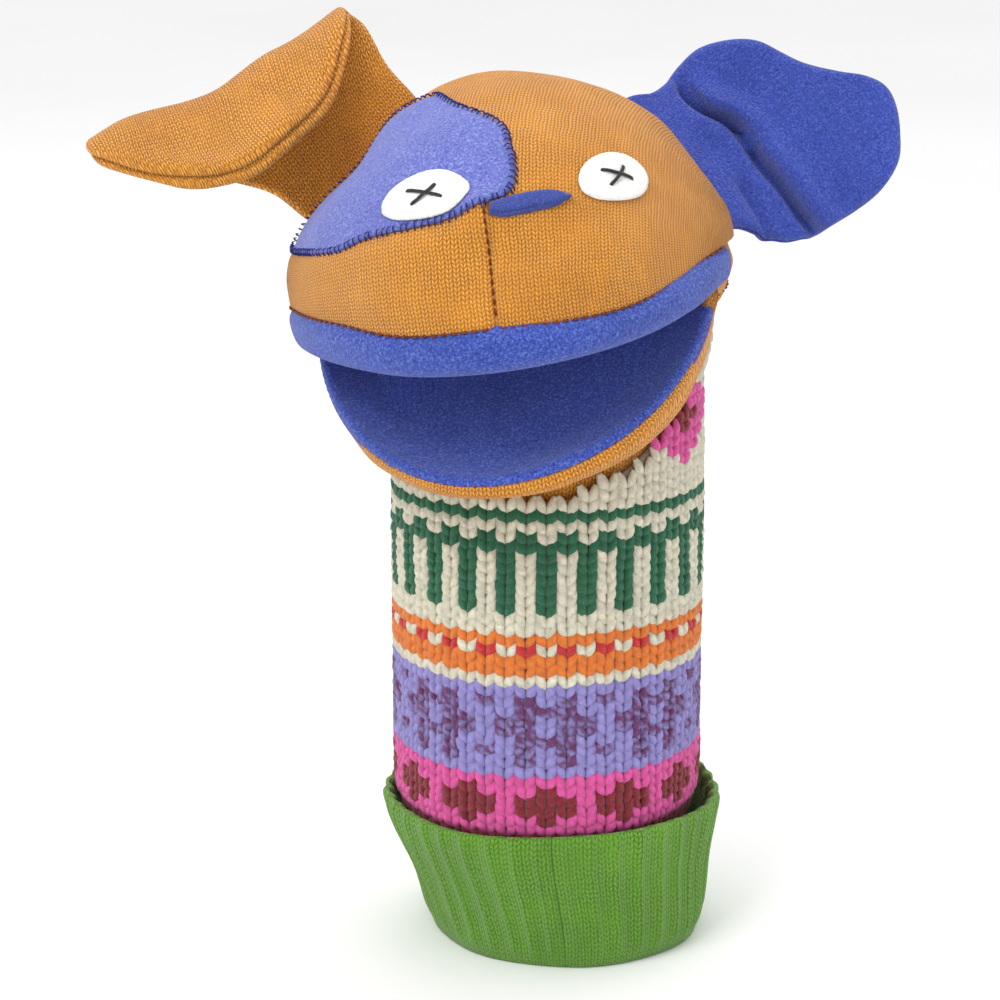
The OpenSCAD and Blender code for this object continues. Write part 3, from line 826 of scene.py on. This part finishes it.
def crown_mesh():
    cols, rows = 360, 96
    az = np.linspace(-180, 180, cols, endpoint=False)
    el = 0.988 * np.linspace(0, 90, rows)
    A, E = np.meshgrid(az, el)
    outside = skin(A, E)
    inside = skin(A[::-1], E[::-1], -2.6)
    hem_out, hem_in = skin(A[:1], E[:1], -0.5), skin(A[:1], E[:1], -2.0)
    for hem in (hem_out, hem_in):
        hem[..., 2] -= 0.7
    p = np.concatenate([hem_out, outside, inside, hem_in])
    drop = np.concatenate([[0], np.arange(rows), np.arange(rows)[::-1], [0]])
    p[..., 2] += lip_rise(az)[None] * bell(drop, 0, 16)[:, None]
    total = len(p)
    knit = head_knit(p).reshape(-1, 2)
    faces = grid_faces(total, cols, wrap_rows=True, wrap_cols=True)
    points = from_head(p.reshape(-1, 3))
    top = rows * cols
    keep = faces[:, 0] // cols != rows
    caps = [np.arange(top, top + cols)[None, :], np.arange(top + cols, top + 2 * cols)[None, ::-1]]
    return build("crown", points, [faces[keep], *caps], mustard_knit, knit=knit)


place(crown_mesh(), "head", "mustard_knit", "crown_panel")


def outline(az, inset=0.0):
    """The mouth's outline in the head's frame, drawn in by `inset`."""
    az = np.radians(az)
    return np.stack(
        [
            dome_middle[0] + (dome_size[0] - inset) * np.sin(az),
            dome_middle[1] - (dome_size[1] - inset) * np.cos(az),
],
        -1,
)


def ribbon(sections, name, material, knit_size=(2.05, 1.55), place_in=from_head):
    """A closed skin through equal sections: section k is a loop of points, and the ends are closed."""
    p = np.asarray(sections, float)
    n, m = p.shape[:2]
    run = run_along(p.mean(1))
    loop = run_along(p[n // 2])
    knit = np.stack(np.meshgrid(run / knit_size[0], loop / knit_size[1], indexing="ij"), -1).reshape(-1, 2)
    faces = [grid_faces(n, m, wrap_cols=True), np.arange(m)[None, :], (n - 1) * m + np.arange(m)[None, ::-1]]
    return build(name, place_in(p.reshape(-1, 3)), faces, material, knit=knit)


def nape():
    """The skirt from the crown's back edge down to the neck seam."""
    loops = []
    for az in np.linspace(mouth_half - 2, 362 - mouth_half, 150):
        rim = outline(az)
        away = unit(rim)
        out = unit(rim - dome_middle[:2])
        foot = away * (ball_r + 2.2)
        top = rim - out * 1.6
        pts = [
            (*top, lip_z + 5), (*(rim - out * 0.2), lip_z - 1.5),
            (*(rim * 0.62 + foot * 0.38 + out * 1.2), lip_z - 5.5),
            (*(rim * 0.22 + foot * 0.78 + out * 0.8), lip_z - 10.5),
            (*foot, neck[2] - 0.5), (*(foot - away * 1.2), neck[2] - 2.2),
        ]
        outer = spline(pts, 16)
        inner = outer[::-1] - np.array([*out, 0.0]) * 2.0
        inner[:, 2] += 0.4
        loops.append(np.concatenate([outer, inner]))
    p = np.array(loops)
    p = p + lumps(p, 16, 9)[..., None] * 0.35 * unit(p - [0, 0, neck[2]])
    return ribbon(p, "nape_skirt", mustard_knit)


skirt_low, skirt_high = from_head([0, 0, neck[2] - 1]), from_head([0, 0, lip_z - 1])
place_between(nape(), ("neck", "head"), skirt_low, skirt_high, "mustard_knit", "nape_panel")


def hem_stitches():
    """Running stitches round the neck seam."""
    paths = []
    for az in np.arange(mouth_half + 8, 352 - mouth_half, 4.2):
        path = []
        for k, (d, h) in enumerate([(-1.4, -0.6), (-0.7, 0.3), (0, 0.5), (0.7, 0.3), (1.4, -0.6)]):
            away = unit(outline(az + d))
            path.append([*(away * (ball_r + 3.0 + h)), neck[2] + 1.4])
        paths.append(from_head(path))
    return sew("neck_seam_stitches", paths, 0.42, rust_thread)


place_between(hem_stitches(), ("neck", "head"), skirt_low, skirt_high, "seam_thread", "neck_seam")


# ---------------------------------------------------------------- mouth
QUARTERS = (0.25, 0.5, 0.75, 1.0)


def inward(az):
    """The direction across the mouth's edge, towards the middle."""
    p = outline(az)
    q = unit((p - dome_middle[:2]) / dome_size[:2] ** 2)
    return -q


def palate():
    palate_z = to_head(node_points("palate_lining"))[:, 2].min()
    loops = []
    for az in np.linspace(-mouth_half, mouth_half, 161):
        edge, to_mid = outline(az), inward(az)
        top, low = lip_z + lip_rise(az), palate_z + rim_rise(az)
        roll = [
            (2.8, top + 0.6), (0.4, top - 0.4), (-2.0, top - 3.6), (-2.0, 0.45 * top + 0.55 * low),
            (-1.0, low + 2.4), (1.6, low + 0.3), (5.0, 0.5 * low + 0.5 * palate_z + 0.3),
            (8.5, palate_z + 1.0), (11.5, palate_z + 2.6),
        ]
        outer = [(*(edge + to_mid * d), z) for d, z in roll]
        start = np.array(outer[-1])
        start[1] = min(start[1], fold[1])
        back = [
            (
                start[0] * (1 - 0.03 * t), start[1] + (fold[1] + 0.5 - start[1]) * t,
                palate_z + 2.6 - 1.6 * t**2,
) for t in QUARTERS
]
        low = np.array(outer[:-1] + [tuple(start)] + back)
        low[:, 1] = np.minimum(low[:, 1], fold[1] + 0.5)
        curve = spline(low, 44)
        inside = curve[::-1].copy()
        inside[:, 2] = np.minimum(np.maximum(inside[:, 2] + 2.4, palate_z + 3.6), max(top, lip_z))
        inside[-12:] = inside[-12:] + np.array([*(to_mid * 2.6), 0.0])
        inside[:, 1] = np.minimum(inside[:, 1], fold[1] + 0.5)
        loops.append(np.concatenate([curve, inside]))
    p = np.array(loops)
    p = p + lumps(p, 20, 21)[..., None] * 0.4 * np.array([0, 0, 1.0]) * smooth(
        p[..., 2], palate_z + 0.5, palate_z + 3
)[..., None]
    return ribbon(p, "palate", blue_wool)


place(palate(), "head", "blue_felt", "palate_lining")


chin_box = in_jaw(node_points("chin_panel"))
jaw_mid, jaw_half = (chin_box[:, 0].min() + chin_box[:, 0].max()) / 2, np.ptp(chin_box[:, 0]) / 2
jaw_tip, jaw_deep = chin_box[:, 1].max(), -chin_box[:, 2].min()
jaw_lap = dome_middle[1] - fold[1]
jaw_reach = math.degrees(math.acos(jaw_lap / (jaw_tip + jaw_lap)))


def jaw_rim(az, inset=0.0):
    a = np.radians(az)
    return np.stack(
        [jaw_mid + (jaw_half - inset) * np.sin(a), -jaw_lap + (jaw_tip + jaw_lap - inset) * np.cos(a)], -1
)


def jaw_inward(az):
    a = np.radians(az)
    return -unit(np.array([np.sin(a) / jaw_half, np.cos(a) / (jaw_tip + jaw_lap)]))


def rim_inset(az):
    """How far in from the chin's edge the blue lining begins: at the sides it laps just over the edge."""
    return -0.4 + 3.0 * bell(az, 14, 40)


def mouth_floor():
    loops = []
    for az in np.linspace(-jaw_reach, jaw_reach, 161):
        edge, to_mid = jaw_rim(az), jaw_inward(az)
        near = rim_inset(az)
        roll = [
            (near + 1.8, -3.6), (near - 0.3, -1.8), (near + 0.4, 0.0), (near + 2.2, 0.4),
            (near + 5.5, -0.9), (15, -2.6),
]
        pts = [(*(edge + to_mid * d), z) for d, z in roll]
        start = pts[-1]
        pts += [(start[0] * (1 - 0.02 * t), start[1] * (1 - t), -2.4 + 1.6 * t**2) for t in QUARTERS]
        curve = spline(pts, 40)
        curve[:, 1] = np.maximum(curve[:, 1], 0)
        under = curve[::-1].copy()
        under[:, 2] -= 1.8
        loops.append(np.concatenate([curve, under]))
    p = np.array(loops)
    p[..., 2] += 0.5 * lumps(p, 24, 31) * smooth(p[..., 1], 0, 12)
    return ribbon(p, "mouth_floor", blue_wool, place_in=from_jaw)


place(mouth_floor(), "jaw", "blue_felt", "mouth_floor_lining")


def chin():
    shallow = 10.0
    thin = 38.0
    loops = []
    for az in np.linspace(-jaw_reach, jaw_reach, 161):
        edge, to_mid = jaw_rim(az), jaw_inward(az)
        ahead = np.clip((edge[1] - thin) / (jaw_tip - thin), 0, 1)
        deep = jaw_deep + (shallow - jaw_deep) * ahead
        near = rim_inset(az)
        pts = [(*(edge + to_mid * d), z) for d, z in [
            (near + 4.0, -3.4), (near + 3.0, -2.4), (near + 1.6, -1.5), (
                near * 0.5 + 0.3, -1.8
), (-0.2, -3.8), (0.3, -0.45 * deep),
            (2.2, -0.78 * deep), (6.0, 0.6 - deep)]]
        end = pts[-1]
        for t in QUARTERS:
            y = max(end[1], 0) * (1 - t)
            d_here = jaw_deep + (shallow - jaw_deep) * np.clip((y - thin) / (jaw_tip - thin), 0, 1)
            pts.append((end[0] * (1 - 0.02 * t), y, 0.4 - d_here))
        curve = spline(pts, 56)
        curve[:, 1] = np.maximum(curve[:, 1], 0)
        inner = curve[::-1].copy()
        lift = np.linspace(0, 1, 56)[::-1]
        inner[:, 2] += 2.0 * smooth(lift, 0.25, 0.5)
        inner[:, :2] += to_mid * 2.2 * (smooth(lift, 0.02, 0.12) * smooth(lift, 0.75, 0.45))[:, None]
        inner[:, 1] = np.maximum(inner[:, 1], 0)
        loops.append(np.concatenate([curve, inner]))
    p = np.array(loops)
    p = p + lumps(p, 18, 41)[..., None] * 0.3 * unit(p - [0, 20, -5])
    p[..., 1] = np.maximum(p[..., 1], 0)
    return ribbon(p, "chin", mustard_knit, place_in=from_jaw)


place(chin(), "jaw", "mustard_knit", "chin_panel")


def mouth_fold():
    """The strip of lining that bends at the back of the mouth."""
    half_angle = math.acos(np.clip(floor_normal @ HEAD[2], -1, 1)) / 2
    x = np.linspace(jaw_mid - jaw_half * 0.985, jaw_mid + jaw_half * 0.985, 81)
    phi = np.linspace(math.radians(-88), math.radians(88), 15)
    loops = []
    for xx in x:
        loop = []
        for r, order in ((2.7, phi), (1.0, phi[::-1])):
            for f in order:
                y, z = 1.2 + r * math.cos(f), r * math.sin(f)
                c, s = math.cos(half_angle), math.sin(half_angle)
                loop.append((xx, fold[1] - 1.6 + y * c - z * s, fold[2] - 0.5 + y * s + z * c))
        loops.append(loop)
    return ribbon(loops, "mouth_fold", blue_wool)


bisect = unit(HEAD[2] + floor_normal)
fold_world = joint_at("jaw_open")
place_between(mouth_fold(), ("head", "jaw"), fold_world + 3 * bisect, fold_world - 3 * bisect, "blue_felt")


def cheek(side):
    """The knit that closes the mouth's corner, from the skirt's front end to the back of the chin."""
    az = side * (mouth_half - 3)
    rim = outline(az)
    out = unit(rim - dome_middle[:2])
    foot = unit(rim) * (ball_r + 0.8)
    u = np.linspace(0, 1, 16)[:, None]
    on_head = from_head(
        spline(
            [
                (*(rim - out * 2.4), lip_z + 3), (*(rim - out * 2.2), lip_z - 4),
                (*(rim * 0.5 + foot * 0.5), lip_z - 9), (*foot, neck[2] - 3),
],
            16,
)
)
    x = jaw_mid + side * jaw_half
    on_jaw = from_jaw(
        np.array([x - side * 2.0, 3.0, -0.8]) * (1 - u) + np.array(
            [x - side * 5.0, 3.0, 2.4 - jaw_deep]
) * u
)
    away = side * HEAD[0]
    sections = []
    for t in np.linspace(0, 1, 24):
        outer = on_head * (1 - t) + on_jaw * t + away * 2.2 * math.sin(math.pi * t) * np.sin(np.pi * u)
        sections.append(np.concatenate([outer, outer[::-1] - away * 1.8]))
    return ribbon(
        sections, "left_cheek" if side < 0 else "right_cheek", mustard_knit, place_in=lambda p: p
), on_head.mean(0), on_jaw.mean(0)


for side in (-1, 1):
    piece, start, end = cheek(side)
    place_between(piece, ("head", "jaw"), start, end, "mustard_knit")


def throat():
    """The knit that joins the sleeve's slanting front edge to the fold and the cheeks."""
    loops = []
    reach = math.radians(118)
    for a in np.linspace(-reach, reach, 120):
        flat = np.array([math.sin(a), -math.cos(a)])
        foot = np.array([*(flat * (sleeve_r - 6.5)), 0.0])
        edge = min(notch_low + notch_slope * (foot @ back_axis + sleeve_r), neck[2] - 4)
        share = np.clip(a / reach, -1, 1)
        top = from_head([jaw_mid + 52 * share, fold[1] + 5 + 36 * max(abs(share) - 0.45, 0), fold[2] - 3.0])
        low = np.array([*(flat * (sleeve_r - 6.2)), edge - 14])
        mid = np.array([*(flat * (sleeve_r - 5.2)), edge + 1])
        curve = spline([low, (low + mid) / 2, mid, mid * 0.5 + top * 0.5 + [0, -2, 2], top], 18)
        inner = curve[::-1] - np.array([*(flat * 1.6), 0.0])
        loops.append(np.concatenate([curve, inner]))
    return ribbon(loops, "throat_gusset", mustard_knit, place_in=lambda p: p)


place_between(
    throat(), ("neck", "head"), (0, -0.6 * sleeve_r, notch_low + 4),
    from_head([0, fold[1] + 4, fold[2] - 6]), "mustard_knit",
)


# ---------------------------------------------------------------- seams and face
def stitch_paths(curve, normal, length, gap, dive=0.35, lift=0.45):
    """Short stitches along a curve: each dips into the cloth at its ends."""
    step = run_along(curve)
    paths = []
    for s in np.arange(gap, step[-1] - length, length + gap):
        t = s + length * np.linspace(0, 1, 5)
        p = np.stack([np.interp(t, step, curve[:, k]) for k in range(3)], 1)
        n = unit(np.stack([np.interp(t, step, normal[:, k]) for k in range(3)], 1))
        paths.append(p + n * (np.array([-dive, lift * 0.7, lift, lift * 0.7, -dive]))[:, None])
    return paths


def dart_seam():
    el = np.linspace(2, 33, 80)
    p, n = dome_base(dart_az + 0 * el, el)
    line = skin(dart_az + 0 * el, el, 0.25)
    line[:, 2] += lip_rise(dart_az) * bell(el, 0, 16)
    paths = [from_head(q) for q in stitch_paths(line, n, 2.3, 0.7)]
    return sew("dart_seam_stitches", paths, 0.42, rust_thread)


place(dart_seam(), "head", "seam_thread", "muzzle_dart_seam")


def lip_stitches():
    az = np.linspace(-mouth_half + 3, mouth_half - 3, 300)
    p = skin(az, 0 * az, 0.1)
    p[:, 2] += lip_rise(az) - 0.7
    n = np.concatenate([-np.array([inward(a) for a in az]), np.zeros((300, 1))], 1)
    paths = [from_head(q) for q in stitch_paths(p, n, 2.0, 1.1, lift=0.1, dive=0.7)]
    return sew("upper_lip_stitches", paths, 0.34, rust_thread)


place(lip_stitches(), "head", "seam_thread", "upper_lip_seam")


def jaw_stitches():
    az = np.linspace(-jaw_reach + 3, jaw_reach - 3, 300)
    p = np.array([[*(jaw_rim(a) + jaw_inward(a) * (rim_inset(a) - 0.1)), -1.5] for a in az])
    n = np.array([[*-jaw_inward(a), 0.6] for a in az])
    paths = [from_jaw(q) for q in stitch_paths(p, n, 1.8, 1.4, lift=0.15, dive=0.6)]
    return sew("lower_lip_stitches", paths, 0.28, rust_thread)


place(jaw_stitches(), "jaw", "seam_thread", "lower_lip_seam")


def patch_outline(count):
    """The eye patch's outline: azimuth and elevation on the head."""
    return spline(patch_edge, count, closed=True)


def disc_on_head(name, edge, low, high, material, rows, ragged, seed=1):
    """A flat cloth shape that lies on the head: `edge` is its outline in azimuth and elevation."""
    n = len(edge)
    middle = edge.mean(0)
    rim = edge - middle
    g = np.random.default_rng(seed)
    fray = 1 + ragged * g.normal(size=(n, 1))
    tops, bottoms = [], []
    for k in range(rows + 1):
        s = k / rows
        ring = middle + rim * s * (1 + (fray - 1) * s**4)
        drop = (high - low) * 0.5 * (1 - math.sqrt(max(0.0, 1 - s**10)))
        tops.append(skin(ring[:, 0], ring[:, 1], high - drop))
        bottoms.append(skin(ring[:, 0], ring[:, 1], low + drop * 0.5))
    p = np.concatenate([tops[1:], bottoms[:0:-1]]).reshape(-1, 3)
    return build(name, from_head(p), capped_faces(2 * rows, n), material, knit=head_knit(p))


patch_line = patch_outline(220)
patch_top = 1.5
patch = disc_on_head("eye_patch_wool", patch_line, 0.15, patch_top, patch_wool, rows=26, ragged=0.004)
place(patch, "head", "patch_felt", "eye_patch")


def whip_stitches():
    """Small stitches over the patch's edge, close together and a little uneven."""
    line = patch_outline(700)
    base = skin(line[:, 0], line[:, 1])
    step = run_along(base)
    middle = line.mean(0)
    paths = []
    g = np.random.default_rng(8)
    for s in np.arange(1, step[-1], 2.1):
        s2 = s + g.uniform(-0.4, 0.4)
        az, el = np.interp(s2, step, line[:, 0]), np.interp(s2, step, line[:, 1])
        az2, el2 = np.interp(s2 + 1.0, step, line[:, 0]), np.interp(s2 + 1.0, step, line[:, 1])
        here, there = skin(np.array([az]), np.array([el]))[0], skin(np.array([az2]), np.array([el2]))[0]
        _, n = dome_base(az, el)
        along = unit(there - here)
        out = np.cross(along, n)
        if out @ (
            skin(
                np.array([az + (az - middle[0]) * 0.05]), np.array([el + (el - middle[1]) * 0.05])
)[0] - here
) < 0:
            out = -out
        reach = g.uniform(0.8, 1.4)
        slant = g.uniform(0.1, 0.9)
        steps = [
            (reach + 0.1, -0.3, slant), (reach * 0.6, 0.7, slant * 0.6), (0.1, 1.75, 0),
            (-0.9, 2.0, -slant * 0.5), (-1.7, 1.2, -slant),
]
        paths.append(from_head([here + out * a + n * b + along * c for a, b, c in steps]))
    return sew("patch_whip_stitches", paths, 0.27, navy_thread)


place(whip_stitches(), "head", "blue_thread", "patch_stitching")


def oval(at, size, tilt, count, bumps=0.0, seed=3):
    """An oval outline on the head, in azimuth and elevation, from a middle and a size in millimetres."""
    g = np.random.default_rng(seed)
    t = 2 * np.pi * np.arange(count) / count
    wobble = 1 + bumps * sum(g.normal() * np.cos(k * t + g.uniform(0, 6)) for k in (2, 3, 5))
    x, y = size[0] / 2 * np.cos(t) * wobble, size[1] / 2 * np.sin(t) * wobble
    c, s = math.cos(math.radians(tilt)), math.sin(math.radians(tilt))
    x, y = x * c - y * s, x * s + y * c
    per_az, per_el = degrees_per_mm(at)
    return np.stack([at[0] + x * per_az, at[1] + y * per_el], 1)


def degrees_per_mm(at):
    """How many degrees of azimuth and elevation one millimetre is, at a place on the head."""
    here = dome_base(*np.array(at, float))[0]
    right = dome_base(at[0] + 1.0, at[1])[0]
    above = dome_base(at[0], at[1] + 1.0)[0]
    return 1 / np.linalg.norm(right - here), 1 / np.linalg.norm(above - here)


eye_size = (27.5, 16.0)
left_eye, right_eye = az_el_of("patch_side_eye"), az_el_of("crown_side_eye")
eye_low = {"patch_side_eye": patch_top - 0.1, "crown_side_eye": 0.15}
eye_tilt = {"patch_side_eye": 12, "crown_side_eye": -4}
for node, at in (("patch_side_eye", left_eye), ("crown_side_eye", right_eye)):
    edge = oval(at, eye_size, eye_tilt[node], 150, bumps=0.022, seed=len(node))
    low = eye_low[node]
    felt = disc_on_head(node + "_felt", edge, low, low + 1.7, white_felt, rows=12, ragged=0.006, seed=4)
    place(felt, "head", "white_felt", node)

    per_az, per_el = degrees_per_mm(at)
    strokes = []
    for turn, long, bend in ((-24, 6.4, 0.5), (34, 5.2, -0.5)):
        a = math.radians(turn + eye_tilt[node])
        s = np.linspace(-1, 1, 11)
        x, y = long * s * math.cos(a) - bend * (
            1 - s**2
) * math.sin(a), long * s * math.sin(a) + bend * (1 - s**2) * math.cos(a)
        off = low + 1.75 + 0.45 * (1 - s**6) - 0.5 * s**6 + (0.45 * bell(s, 0, 0.3) if turn > 0 else 0)
        for shift in (-0.22, 0.22):
            strokes.append(
                from_head(
                    skin(
                        at[0] + (x + shift * math.sin(a)) * per_az,
                        at[1] + (y - shift * math.cos(a)) * per_el, off,
)
)
)
    cross_stitch = sew(node + "_cross_stitch", strokes, 0.34, charcoal_thread, taper=0.3)
    place(cross_stitch, "head", "charcoal_thread", node + "_cross")


def nose():
    """A tongue of close satin stitches, from the dart's top towards the other eye."""
    left, size = az_el_of("nose"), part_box("nose")
    reach = 0.5 * (size[1][0] - size[0][0]) / MM * degrees_per_mm(left)[0]
    line = spline(
        [
            (left[0] - reach, left[1] + 0.6),
            (left[0] - 0.3 * reach, left[1] + 1.6),
            (left[0] + 0.4 * reach, left[1] + 1.6),
            (left[0] + reach, left[1] + 0.6),
],
        46,
)
    paths = []
    for k, (az, el) in enumerate(line):
        t = k / (len(line) - 1)
        half = 3.3 * math.sqrt(max(0.02, 1 - abs(2 * t - 0.9) ** 2.6)) * (1 - 0.15 * t)
        _, per_el = degrees_per_mm((az, el))
        s = np.linspace(-1, 1, 9)
        paths.append(
            from_head(
                skin(az + 0.35 * s, el + half * per_el * s, 0.35 + 1.25 * np.sqrt(np.maximum(0, 1 - s**4)))
)
)
    return sew("nose_satin_stitches", paths, 0.52, nose_wool, sides=7, taper=0.5)


place(nose(), "head", "nose_felt", "nose")


# ---------------------------------------------------------------- ears
def ear(name, edge, surface, half_thick, material, rows=30, knit_size=(1.9, 1.45), seam=True, slim=0.62):
    """A puffed two-layer ear: `edge` is its flat outline, and `surface` bends it and gives its normal."""
    n = len(edge)
    middle = edge.mean(0)
    layers = []
    steps = [math.sin(0.5 * math.pi * k / rows) ** 0.9 for k in range(1, rows + 1)]

    def at(flat, lift):
        p, normal = surface(flat)
        return p + normal * lift[:, None]

    def thin(flat):
        return slim + (1 - slim) * smooth(flat[:, 1], 2, 16)

    inner = edge + unit(middle - edge) * half_thick
    flats = [middle + (inner - middle) * s for s in steps]
    for flat in flats:
        layers.append((flat, half_thick * thin(flat)))
    rim = []
    for f in np.linspace(90, -90, 21)[1:-1]:
        lobe = abs(math.sin(math.radians(f))) ** 0.5 if seam else 1.0
        push = half_thick * thin(inner) * (
            math.cos(math.radians(f)) ** 0.85 * (0.72 + 0.28 * lobe) - 0.28 * bell(f, 0, 9)
)
        rim.append(
            (
                inner - unit(middle - inner) * push[:, None],
                half_thick * thin(inner) * math.sin(math.radians(f)),
)
)
    rings = [at(f, h) for f, h in layers] + [at(f, h) for f, h in rim] + [at(f, -h) for f, h in layers[::-1]]
    knits = [f for f, _ in layers] + [f for f, _ in rim] + [f for f, _ in layers[::-1]]
    p = np.concatenate(rings)
    p = p + lumps(p, 17, 51)[:, None] * 0.45 * unit(lumps(p, 23, 52)[:, None] + 1.5)
    knit = np.concatenate(knits) / np.array(knit_size)
    return build(name, p, capped_faces(len(rings), n), material, knit=knit)


def folded(point, axis, root_dir, flap_dir, radius):
    """Bends an ear's flat shape: x runs along the fold, y < 0 is the root and y > 0 the flap."""
    root_dir, flap_dir = unit(root_dir), unit(flap_dir)
    turn = math.pi - math.acos(root_dir @ flap_dir)
    back, side = -unit(root_dir + flap_dir), unit(flap_dir - root_dir)
    centre = point - back * (radius + 0.3 * radius * (1 / math.cos(turn / 2) - 1))

    def surface(flat):
        x, y = flat[:, :1], flat[:, 1:2]
        bent = np.clip(y / radius, -turn / 2, turn / 2)
        normal = back * np.cos(bent) + side * np.sin(bent)
        beyond = np.maximum(np.abs(y) - radius * turn / 2, 0)
        return centre + x * axis + radius * normal + beyond * np.where(y > 0, flap_dir, root_dir), normal

    return surface


m_point, m_axis = joint_at("mustard_ear_fold"), joint_axis("mustard_ear_fold")
if (node_points("mustard_ear_flap_front").mean(0) - m_point) @ m_axis < 0:
    m_axis = -m_axis


def away_from_fold(place, point, axis):
    d = place - point
    return unit(d - (d @ axis) * axis)


m_root = away_from_fold(joint_at("mustard_ear_lift"), m_point, m_axis)
m_flap = away_from_fold(node_points("mustard_ear_flap_front").mean(0), m_point, m_axis)
m_surface = folded(m_point, m_axis, m_root, m_flap, 4.5)


def mustard_surface(flat):
    """The folded ear, with its free end curled up and its flap curved forward."""
    p, n = m_surface(flat)
    x, y = flat[:, 0], flat[:, 1]
    curl = 10.0 * smooth(x, 38, 80) + 2.0 * bell(x, 24, 14) + 3.5 * smooth(x, 20, -8) * smooth(y, -26, -4)
    droop = 15.0 * smooth(y, 4, 38) * smooth(x, -12, 12) - 4.0 * smooth(y, 4, 30) * smooth(x, 66, 92)
    p = p + (curl - droop)[:, None] * [0, 0, 1]
    p = p + n * (3.0 * np.sin(np.clip(y, 0, 40) / 40 * np.pi) * smooth(x, -5, 30))[:, None]
    return p, n


m_cut = [
    (
        -15, -47
), (0, -56), (16, -62), (30, -66), (35, -56), (41, -42), (48, -31), (60, -22), (74, -13), (86, -6),
    (92, 6), (87, 22), (70, 35), (46, 41), (22, 38), (5, 27), (-5, 12), (-10, -1), (-12, -12), (-13, -22),
    (-14, -34),
]
m_edge = spline(m_cut, 280, closed=True)
m_split = unit(m_flap - m_root)
mustard_ear = ear("mustard_ear", m_edge, mustard_surface, 4.6, mustard_knit)
place_between(
    mustard_ear, ("mustard_ear_root", "mustard_ear_flap"), m_point - 2.5 * m_split, m_point + 2.5 * m_split,
    "mustard_knit",
    "mustard_ear_root_front", "mustard_ear_root_back", "mustard_ear_flap_front", "mustard_ear_flap_back",
)

b_point, b_axis = joint_at("blue_ear_fold"), joint_axis("blue_ear_fold")
b_root = away_from_fold(joint_at("blue_ear_lift"), b_point, b_axis)
b_lobe = away_from_fold(node_points("blue_ear_lobe_front").mean(0), b_point, b_axis)
b_surface = folded(b_point, b_axis, b_root, b_lobe, 8.0)
b_front = -np.sign(b_surface(np.array([[0.0, 20.0]]))[1][0, 1])


def blue_surface(flat):
    """The lobe, drawn in by a pleat at its root."""
    p, n = b_surface(flat)
    x, y = flat[:, 0], flat[:, 1]
    toward = n * b_front
    crease = 2.5 - 6.5 * smooth(x, -8, -30)
    slit = -6.5 * bell(y, crease, 1.9) * smooth(x, -36, -24) + 2.6 * bell(
        y, crease - 5, 3.6
) * smooth(x, -30, -10)
    roll = 4.0 * bell(y, crease + 6, 4.5) * smooth(x, -36, -18)
    pleat = -2.6 * bell(y, -7.5 - 0.15 * x, 1.6) * smooth(x, 0, 8)
    wave = 1.6 * np.sin(y / 13.0) * smooth(y, 10, 26)
    p = p + toward * (slit + pleat + roll + wave)[:, None]
    return p, n


b_cut = [
    (-38, -36), (-16, -36), (2, -34), (13, -26), (17, -18), (24, -12), (30, -6), (33.5, 4), (34.5, 16),
    (34, 28), (30, 38), (23, 44), (15, 47.5), (8, 48.5), (2, 46), (-4, 40), (-11, 34.5), (-20, 29.5),
    (-28, 25), (-34, 18), (-37.5, 9), (-37, 0), (-35, -7), (-35, -14), (-38, -22),
]
b_edge = spline(b_cut, 280, closed=True)
b_split = unit(b_lobe - b_root)
blue_ear = ear("blue_ear", b_edge, blue_surface, 3.6, blue_knit, slim=0.85)
place_between(
    blue_ear, (
        "blue_ear_root", "blue_ear_lobe"
), b_point - 3.0 * b_split, b_point + 3.0 * b_split, "blue_felt",
    "blue_ear_root_front", "blue_ear_root_back", "blue_ear_lobe_front", "blue_ear_lobe_back",
)

# ---------------------------------------------------------------- CAD pieces that stay
for node in ("upper_mouth_board", "lower_mouth_board"):
    mesh = frame["nodes"][node].data
    mesh.materials.clear()
    mesh.materials.append(card)
